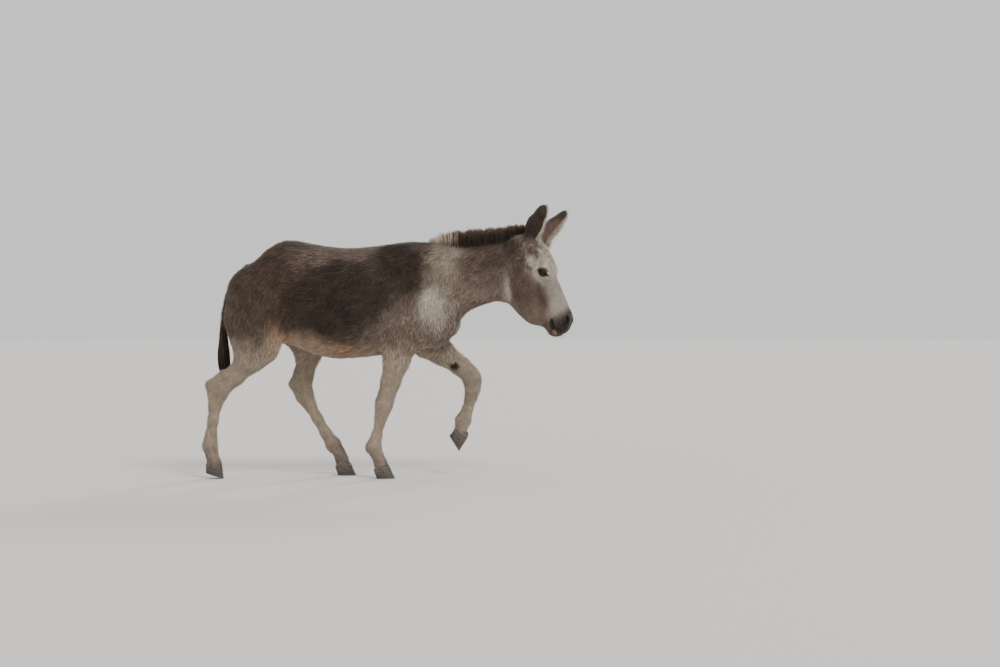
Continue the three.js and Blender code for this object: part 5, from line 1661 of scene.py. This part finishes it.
# an eye is a dark brown ball with a level pupil, a wet rim and lashes
eyeLook = {
    "segments": 48, "rings": 32, "iris": 13.2, "cornea": 1.3,
    "look": (0.10, 0.02),  # how far the eye turns down and across the face
    "ramp": ((0.30, (0.020, 0.010, 0.006, 1)), (0.72, (0.014, 0.009, 0.007, 1)),
             (0.55, (0.028, 0.013, 0.007, 1))),
    "pupil": (0.004, 0.005, 0.007, 1), "pupilFlat": 1.9, "pupilEdge": (0.36, 0.30),
    "rimOut": 1.3, "rimThick": 0.0016, "rimTone": (0.016, 0.011, 0.010, 1),
    "lashes": 30, "lashSpan": (-0.86, 0.9), "lashLength": 11.0, "lashTone": (0.020, 0.015, 0.012, 1),
    "lashTaper": (1.1, 1.0, 0.8, 0.5, 0),
}


def eyeTurn(side):
    # turns a ball whose pole is the pupil to where the eye looks, its long axis along the opening
    out = headTurn(*eyeLook["look"], side * 1.0).ravel()
    out /= np.linalg.norm(out)
    long = headTurn(*eyes["turn"], 0.0).ravel()
    long = long - long @ out * out
    long /= np.linalg.norm(long)
    up = np.cross(out, long) * side
    return Matrix((Vector(long), Vector(up if up[2] > 0 else -up), Vector(out))).transposed()


def eyeMaterial():
    material, tree, shader = newMaterial("eyeDarkBrown", {
        "Roughness": 0.16, "Specular IOR Level": 0.15, "Coat Weight": 0.18, "Coat Roughness": 0.04})
    split = addNode(tree, "SeparateXYZ", {0: readAttribute(tree, "gaze")["Vector"]}).outputs
    flat = addNode(tree, "CombineXYZ", {"X": split["X"], "Y": split["Y"]}).outputs[0]
    far = addNode(tree, "VectorMath", {0: flat}, "LENGTH").outputs["Value"]
    iris = addNode(tree, "ValToRGB", {0: far})
    steps = iris.color_ramp.elements
    (steps[0].position, steps[0].color), (steps[1].position, steps[1].color) = eyeLook["ramp"][:2]
    steps.new(eyeLook["ramp"][2][0]).color = eyeLook["ramp"][2][1]
    stretch = addNode(tree, "VectorMath", {0: flat, 1: (1.0, eyeLook["pupilFlat"], 0.0)}, "MULTIPLY")
    away = addNode(tree, "VectorMath", {0: stretch.outputs[0]}, "LENGTH").outputs["Value"]
    start, end = eyeLook["pupilEdge"]
    pupil = addNode(tree, "MapRange", {"From Min": start, "From Max": end, "Value": away})
    mix = tree.nodes.new("ShaderNodeMix")
    mix.data_type = "RGBA"
    mix.inputs["B"].default_value = eyeLook["pupil"]
    tree.links.new(pupil.outputs[0], mix.inputs["Factor"])
    tree.links.new(iris.outputs[0], mix.inputs["A"])
    tree.links.new(mix.outputs["Result"], shader.inputs["Base Color"])
    return material


darkBrownEye = eyeMaterial()
wetRim = newMaterial("wetEyeRim", {"Base Color": eyeLook["rimTone"], "Roughness": 0.35})[0]
lashMaterial = newMaterial("lashHair", {"Base Color": eyeLook["lashTone"], "Roughness": 0.6})[0]


def makeEyeball(name, label, side):
    turn, centre = eyeTurn(side), Vector(eyeCentre(side))
    ball = eyes["radius"] / 1000
    bm = bmesh.new()
    bmesh.ops.create_uvsphere(bm, u_segments=eyeLook["segments"], v_segments=eyeLook["rings"], radius=1.0)
    gazeLayer = bm.verts.layers.float_vector.new("gaze")
    for vert in bm.verts:
        vert[gazeLayer] = vert.co
        flat = math.hypot(vert.co.x, vert.co.y) * eyes["radius"]
        bulge = eyeLook["cornea"] * max(0.0, 1 - (flat / eyeLook["iris"]) ** 2) if vert.co.z > 0 else 0.0
        vert.co = turn @ (vert.co * (ball + bulge / 1000)) + centre
    bm.normal_update()
    bmesh.ops.recalc_face_normals(bm, faces=bm.faces)
    piece = addObject("eyeball" + label, takeMesh(bm, name + "Ball", True))
    finishPiece(piece, darkBrownEye, [name])


def makeLidRim(label, points):
    # a soft cord along the edge of the lids
    curve = bpy.data.curves.new("lidRim" + label, "CURVE")
    curve.dimensions = "3D"
    curve.bevel_depth = eyeLook["rimThick"]
    curve.bevel_resolution = 3
    spline = curve.splines.new("POLY")
    spline.points.add(len(points) - 1)
    for point, place in zip(spline.points, toFrame(points)):
        point.co = (*place, 1)
    spline.use_cyclic_u = True
    cord = addObject("lidRim" + label, curve)
    mesh = bpy.data.meshes.new_from_object(cord.evaluated_get(bpy.context.evaluated_depsgraph_get()))
    bpy.data.objects.remove(cord)
    mesh.polygons.foreach_set("use_smooth", np.ones(len(mesh.polygons), bool))
    finishPiece(addObject("lidRim" + label, mesh), wetRim)


def makeEye(name, side):
    label = "Left" if side > 0 else "Right"
    makeEyeball(name, label, side)
    middle = toBody(eyeCentre(side)[None])[0]
    long, up = (headTurn(*turn, 0.0).ravel() for turn in (eyes["turn"], (-eyes["turn"][1], eyes["turn"][0])))
    out = headTurn(0, 0, 1).ravel() * side
    crown = eyes["radius"] + eyeLook["rimOut"]
    # once round the edge of the lids, along the upper one and back along the lower one
    a = -eyes["halfLong"] * np.cos(np.linspace(0, math.pi, 33))
    top, bottom = lidHeights(a)
    ring = np.concatenate([np.stack([a, top], axis=1)[:-1], np.stack([a, -bottom], axis=1)[::-1][:-1]])
    deep = np.sqrt(crown ** 2 - (ring ** 2).sum(axis=1).clip(0, (crown - 1) ** 2))
    makeLidRim(label, middle + ring[:, :1] * long + ring[:, 1:] * up + deep[:, None] * out)
    # lashes along the upper lid
    n = eyeLook["lashes"]
    a = np.linspace(*eyeLook["lashSpan"], n) * eyes["halfLong"] + dice.normal(0, 0.3, n)
    b = lidHeights(a)[0] + 0.6
    c = np.sqrt(crown ** 2 - a ** 2 - b ** 2)
    foot = middle + a[:, None] * long + b[:, None] * up + c[:, None] * out
    length = eyeLook["lashLength"] * vary(n, 0.18, 0.6, 1.4) * (1 - 0.4 * np.abs(a) / eyes["halfLong"])
    flow = unit(out * 0.95 - up * 0.05 + long * (a / 40)[:, None] + dice.normal(0, 0.06, (n, 3)))
    paths = bentPaths(foot, flow, unit(flow - up * 0.45), length, np.linspace(0, 1, 5))
    buildLocks("lashes" + label, lashMaterial, paths, eyeLook["lashTaper"], np.ones(n),
               np.tile(long, (n, 1)), np.full((n, 5, 3), 0.02), np.tile([[0.8, 0.2]], (n, 1)))


makeEye("eye_left", 1)
makeEye("eye_right", -1)

# a hoof is a sloping wall with growth rings, a coronet above and a hollow sole
hoofSettings = {
    "length": 98.0, "width": 80.0, "toe": 70.0, "heel": 40.0, "slope": 0.42, "top": 0.91,
    "front": 0.54, "rear": 0.46, "heelIn": 0.10,  # shares of the length, and how flat the heel is
    "sides": 56, "levels": 16, "ripple": 0.5, "rings": 40.0, "wall": 8.0, "hollow": 5.0,
    "crisp": 50.0,  # edges sharper than this stay crisp
    "spots": {  # x, y, z of the middle of the sole, and how far the toe is turned down
        "hoof_fore_right": (-72, -108, 0, 0), "hoof_fore_left": (272, 110, 168, 58),
        "hoof_hind_right": (-938, -108, 16, 19), "hoof_hind_left": (-282, 108, 0, 0)},
}


def hoofMaterial():
    material, tree, shader = newMaterial("darkHorn", {"Roughness": 0.48})
    horn = readAttribute(tree, "horn")["Vector"]
    noises = []
    for scale, detail in (((14.0, 14.0, 90.0), 4.0), ((420.0, 420.0, 16.0), 3.0)):
        place = addNode(tree, "Mapping", {"Scale": scale, "Vector": horn})
        grain = addNode(tree, "TexNoise", {"Scale": 1.0, "Detail": detail, "Vector": place.outputs[0]})
        noises.append(grain.outputs["Fac"])
    both = addNode(tree, "Math", dict(enumerate(noises)), "ADD")
    half = addNode(tree, "Math", {0: both.outputs[0], 1: 0.5}, "MULTIPLY")
    ramp = addNode(tree, "ValToRGB", {0: half.outputs[0]})
    for step, (place, tone) in zip(ramp.color_ramp.elements, ((0.36, (0.020, 0.017, 0.015, 1)),
                                                              (0.66, (0.110, 0.092, 0.078, 1)))):
        step.position, step.color = place, tone
    tree.links.new(ramp.outputs[0], shader.inputs["Base Color"])
    bump = addNode(tree, "Bump", {"Strength": 0.35, "Distance": 0.0015, "Height": half.outputs[0]})
    tree.links.new(bump.outputs[0], shader.inputs["Normal"])
    return material


darkHorn = hoofMaterial()


def sideName(name):
    # hoof_fore_right becomes ForeRight
    return "".join(word.title() for word in name.split("_")[1:])


def extrudeRing(bm, edges, shape):
    made = bmesh.ops.extrude_edge_only(bm, edges=edges)["geom"]
    edges = [g for g in made if isinstance(g, bmesh.types.BMEdge)]
    for vert in {v for e in edges for v in e.verts}:
        shape(vert)
    return edges


def hoofPlace(angle, rise, size, sink=0.0):
    # a place on a hoof by the angle round it, the share up it and the width there
    h, front = hoofSettings, np.cos(angle)
    blunt = np.where(front > 0, front, -np.sqrt(np.abs(front)))
    share = np.where(front > 0, h["front"], h["rear"]) * (1 - h["heelIn"] * np.clip(-front, 0, 1) ** 12)
    height = rise * (h["heel"] + (h["toe"] - h["heel"]) * (blunt + 1) / 2) + sink
    x = blunt * h["length"] * share * size - height * h["slope"]
    return x, np.sin(angle) * h["width"] / 2 * size, height


def makeHoof(name, spot):
    h = hoofSettings
    bm = bmesh.new()
    angleLayer = bm.verts.layers.float.new("angle")
    hornLayer = bm.verts.layers.float_vector.new("horn")
    ring = bmesh.ops.create_circle(bm, cap_ends=False, segments=h["sides"], radius=1.0)["verts"]
    for vert in ring:
        vert[angleLayer] = math.atan2(vert.co.y, vert.co.x)

    def at(rise, size, sink=0.0):
        def shape(vert):
            vert.co = [float(k) for k in hoofPlace(vert[angleLayer], rise, size, sink)]
            vert[hornLayer] = vert.co / 1000
        return shape

    for vert in ring:
        at(0, 1.0)(vert)
    soleEdges = list(bm.edges)
    edges = soleEdges
    for step in range(1, h["levels"] + 1):
        rise = step / h["levels"]
        grown = math.sin(rise * h["rings"]) * h["ripple"] / 45 * (1 - rise * 0.4)
        edges = extrudeRing(bm, edges, at(rise, 1 + (h["top"] - 1) * rise + grown * 0.35))
    for narrower, sink in ((0.03, 2.0), (0.12, 3.0)):
        edges = extrudeRing(bm, edges, at(1.0, h["top"] - narrower, sink))
    bmesh.ops.holes_fill(bm, edges=edges, sides=h["sides"])
    inner = 1 - 2 * h["wall"] / h["width"]
    edges = soleEdges
    for size, sink in ((inner, 0.0), (inner * 0.96, h["hollow"]), (inner * 0.5, h["hollow"] + 1.5)):
        edges = extrudeRing(bm, edges, at(0, size, sink))
    bmesh.ops.holes_fill(bm, edges=edges, sides=h["sides"])
    bmesh.ops.recalc_face_normals(bm, faces=bm.faces)
    turn = Matrix.Rotation(math.radians(spot[3]), 4, "Y")
    bmesh.ops.transform(bm, matrix=Matrix.Translation(spot[:3]) @ turn, verts=bm.verts)
    for vert in bm.verts:
        vert.co.z = max(vert.co.z, 0.0)
        vert.co = Vector(toFrame(np.array(vert.co)))
    mesh = takeMesh(bm, name, True)
    mesh.set_sharp_from_angle(angle=math.radians(h["crisp"]))
    return finishPiece(addObject("hoof" + sideName(name), mesh), darkHorn, [name])


for name, spot in hoofSettings["spots"].items():
    makeHoof(name, spot)
print("hooves built")

# hair that hangs over the top of each hoof
coronet = {
    "hairs": 620, "rise": (1.30, 1.08, 0.86, 0.66), "size": (0.72, 0.88, 0.985, 1.0),
    "taper": (1.0, 1.0, 0.7, 0), "width": (2.2, 0.4, 1.2, 3.4),
    "tones": ((0.13, 0.10, 0.08), (0.27, 0.215, 0.165)),
}


def makeCoronet(name, spot):
    n = coronet["hairs"]
    angle = dice.uniform(-math.pi, math.pi, n)
    long = vary(n, 0.2, 0.4, 1.5)[:, None]
    rise = coronet["rise"][0] + (np.array(coronet["rise"])[None] - coronet["rise"][0]) * long
    size = np.array(coronet["size"])[None] + dice.normal(0, 0.012, (n, 1))
    wall = size * (1 + (hoofSettings["top"] - 1) * np.clip(rise, 0, 1))
    x, y, height = hoofPlace(angle[:, None], rise, wall)
    px, py, pz, pitch = spot
    c, s = math.cos(math.radians(pitch)), math.sin(math.radians(pitch))
    paths = np.stack([px + x * c + height * s, py + y, pz - x * s + height * c], axis=2)
    mean, spread, *ends = coronet["width"]
    thick = np.clip(dice.normal(mean, spread, n), *ends)
    across = level(-np.sin(angle), np.cos(angle))
    shade = vary(n, 0.16, 0.6, 1.5)[:, None, None]
    colors = blendTones(coronet["tones"], np.linspace(0, 1, 4)[None], n) * shade
    where = sideName(name)
    uv = onSheet(where[0].lower() + where[1:], np.full(n, 0.08), angle / 6.2832 + 0.5)
    buildLocks("coronet" + where, furMaterial, paths, coronet["taper"], thick, across, colors, uv)


for name, spot in hoofSettings["spots"].items():
    makeCoronet(name, spot)

# a few long stiff hairs on the chin and the lips
whiskerSettings = {
    "chin": 70, "lips": 24, "length": (15, 5, 7, 26), "taper": (0.7, 0.6, 0.4, 0), "sag": 0.18,
    "messy": 0.18,
    "tone": (0.15, 0.125, 0.105), "dark": (0.6, 0.3),  # share of dark hairs, and how dark
}


def makeWhiskers():
    m = whiskerSettings
    u, v = zone["u"], zone["v"]
    chin = (u > 440) & (v < 6) & (skinBare < 0.2) & (zone["head"] > 0.9)
    lips = (u > 470) & (v >= 6) & (v < 44) & (zone["head"] > 0.9)
    ids = np.concatenate([dice.choice(np.nonzero(where)[0], m[key], replace=False)
                          for key, where in (("chin", chin), ("lips", lips))])
    n = len(ids)
    flow = unit(skinNormals[ids] * 0.8 + headTurn(0.7, -0.1, 0.0) + dice.normal(0, m["messy"], (n, 3)))
    mean, spread, *ends = m["length"]
    length = np.clip(dice.normal(mean, spread, n), *ends)
    steps = np.linspace(0, 1, 4)
    sag = np.array([0, 0, -1.0]) * (length * m["sag"])[:, None]
    paths = skinBody[ids][:, None] + flow[:, None] * (length[:, None] * steps)[:, :, None]
    paths = paths + sag[:, None] * (steps ** 2)[None, :, None]
    shade = np.where(dice.random(n) < m["dark"][0], m["dark"][1], 1.0)[:, None, None]
    colors = np.ones((n, 4, 3)) * np.array(m["tone"]) * shade
    start, size = unwrapSettings["head"]
    uv = onSheet("head", (u[ids] - start) / size, np.full(n, 0.5))
    buildLocks("whiskers", furMaterial, paths, m["taper"], np.ones(n),
               np.tile([[1.0, 0, 0]], (n, 1)), colors, uv)


makeWhiskers()

# the stage: a pale floor, a soft grey room and two low suns
stage = {
    "floorTone": (0.72, 0.70, 0.68, 1), "size": 60.0, "roomTone": (0.86, 0.85, 0.84, 1), "roomLight": 1.05,
    # place, aim, how wide the sun is in degrees, strength, tone
    "suns": {"keyLight": ((3.0, -5.0, 6.0), (0, 0, 0.8), 20, 1.5, (1.0, 0.98, 0.95)),
             "backLight": ((2.2, 5.5, 3.4), (0, 0, 0.9), 12, 1.1, (1.0, 0.93, 0.84))},
}
bm = bmesh.new()
bmesh.ops.create_grid(bm, x_segments=1, y_segments=1, size=stage["size"] / 2)
floor = addObject("floor", takeMesh(bm, "floor"))
floor.data.materials.append(newMaterial("paleFloor", {"Base Color": stage["floorTone"], "Roughness": 0.9})[0])

world = bpy.data.worlds.new("studio")
bpy.context.scene.world = world
world.use_nodes = True
world.node_tree.nodes["Background"].inputs["Color"].default_value = stage["roomTone"]
world.node_tree.nodes["Background"].inputs["Strength"].default_value = stage["roomLight"]

for name, (place, aim, size, power, color) in stage["suns"].items():
    light = bpy.data.lights.new(name, "SUN")
    light.angle = math.radians(size)
    light.energy = power
    light.color = color
    lamp = addObject(name, light)
    lamp.location = place
    lamp.rotation_euler = (Vector(aim) - Vector(place)).to_track_quat("-Z", "Y").to_euler()

lens = {"place": (0.5653, -12.05, 0.98), "pitch": 1.18, "focal": 85.0, "sensor": 36.0}
cameraData = bpy.data.cameras.new("camera")
cameraData.lens = lens["focal"]
cameraData.sensor_width = lens["sensor"]
camera = addObject("camera", cameraData)
camera.location = lens["place"]
camera.rotation_euler = (math.radians(90 - lens["pitch"]), 0, 0)
bpy.context.scene.camera = camera
print("stage set")

bpy.context.view_layer.update()
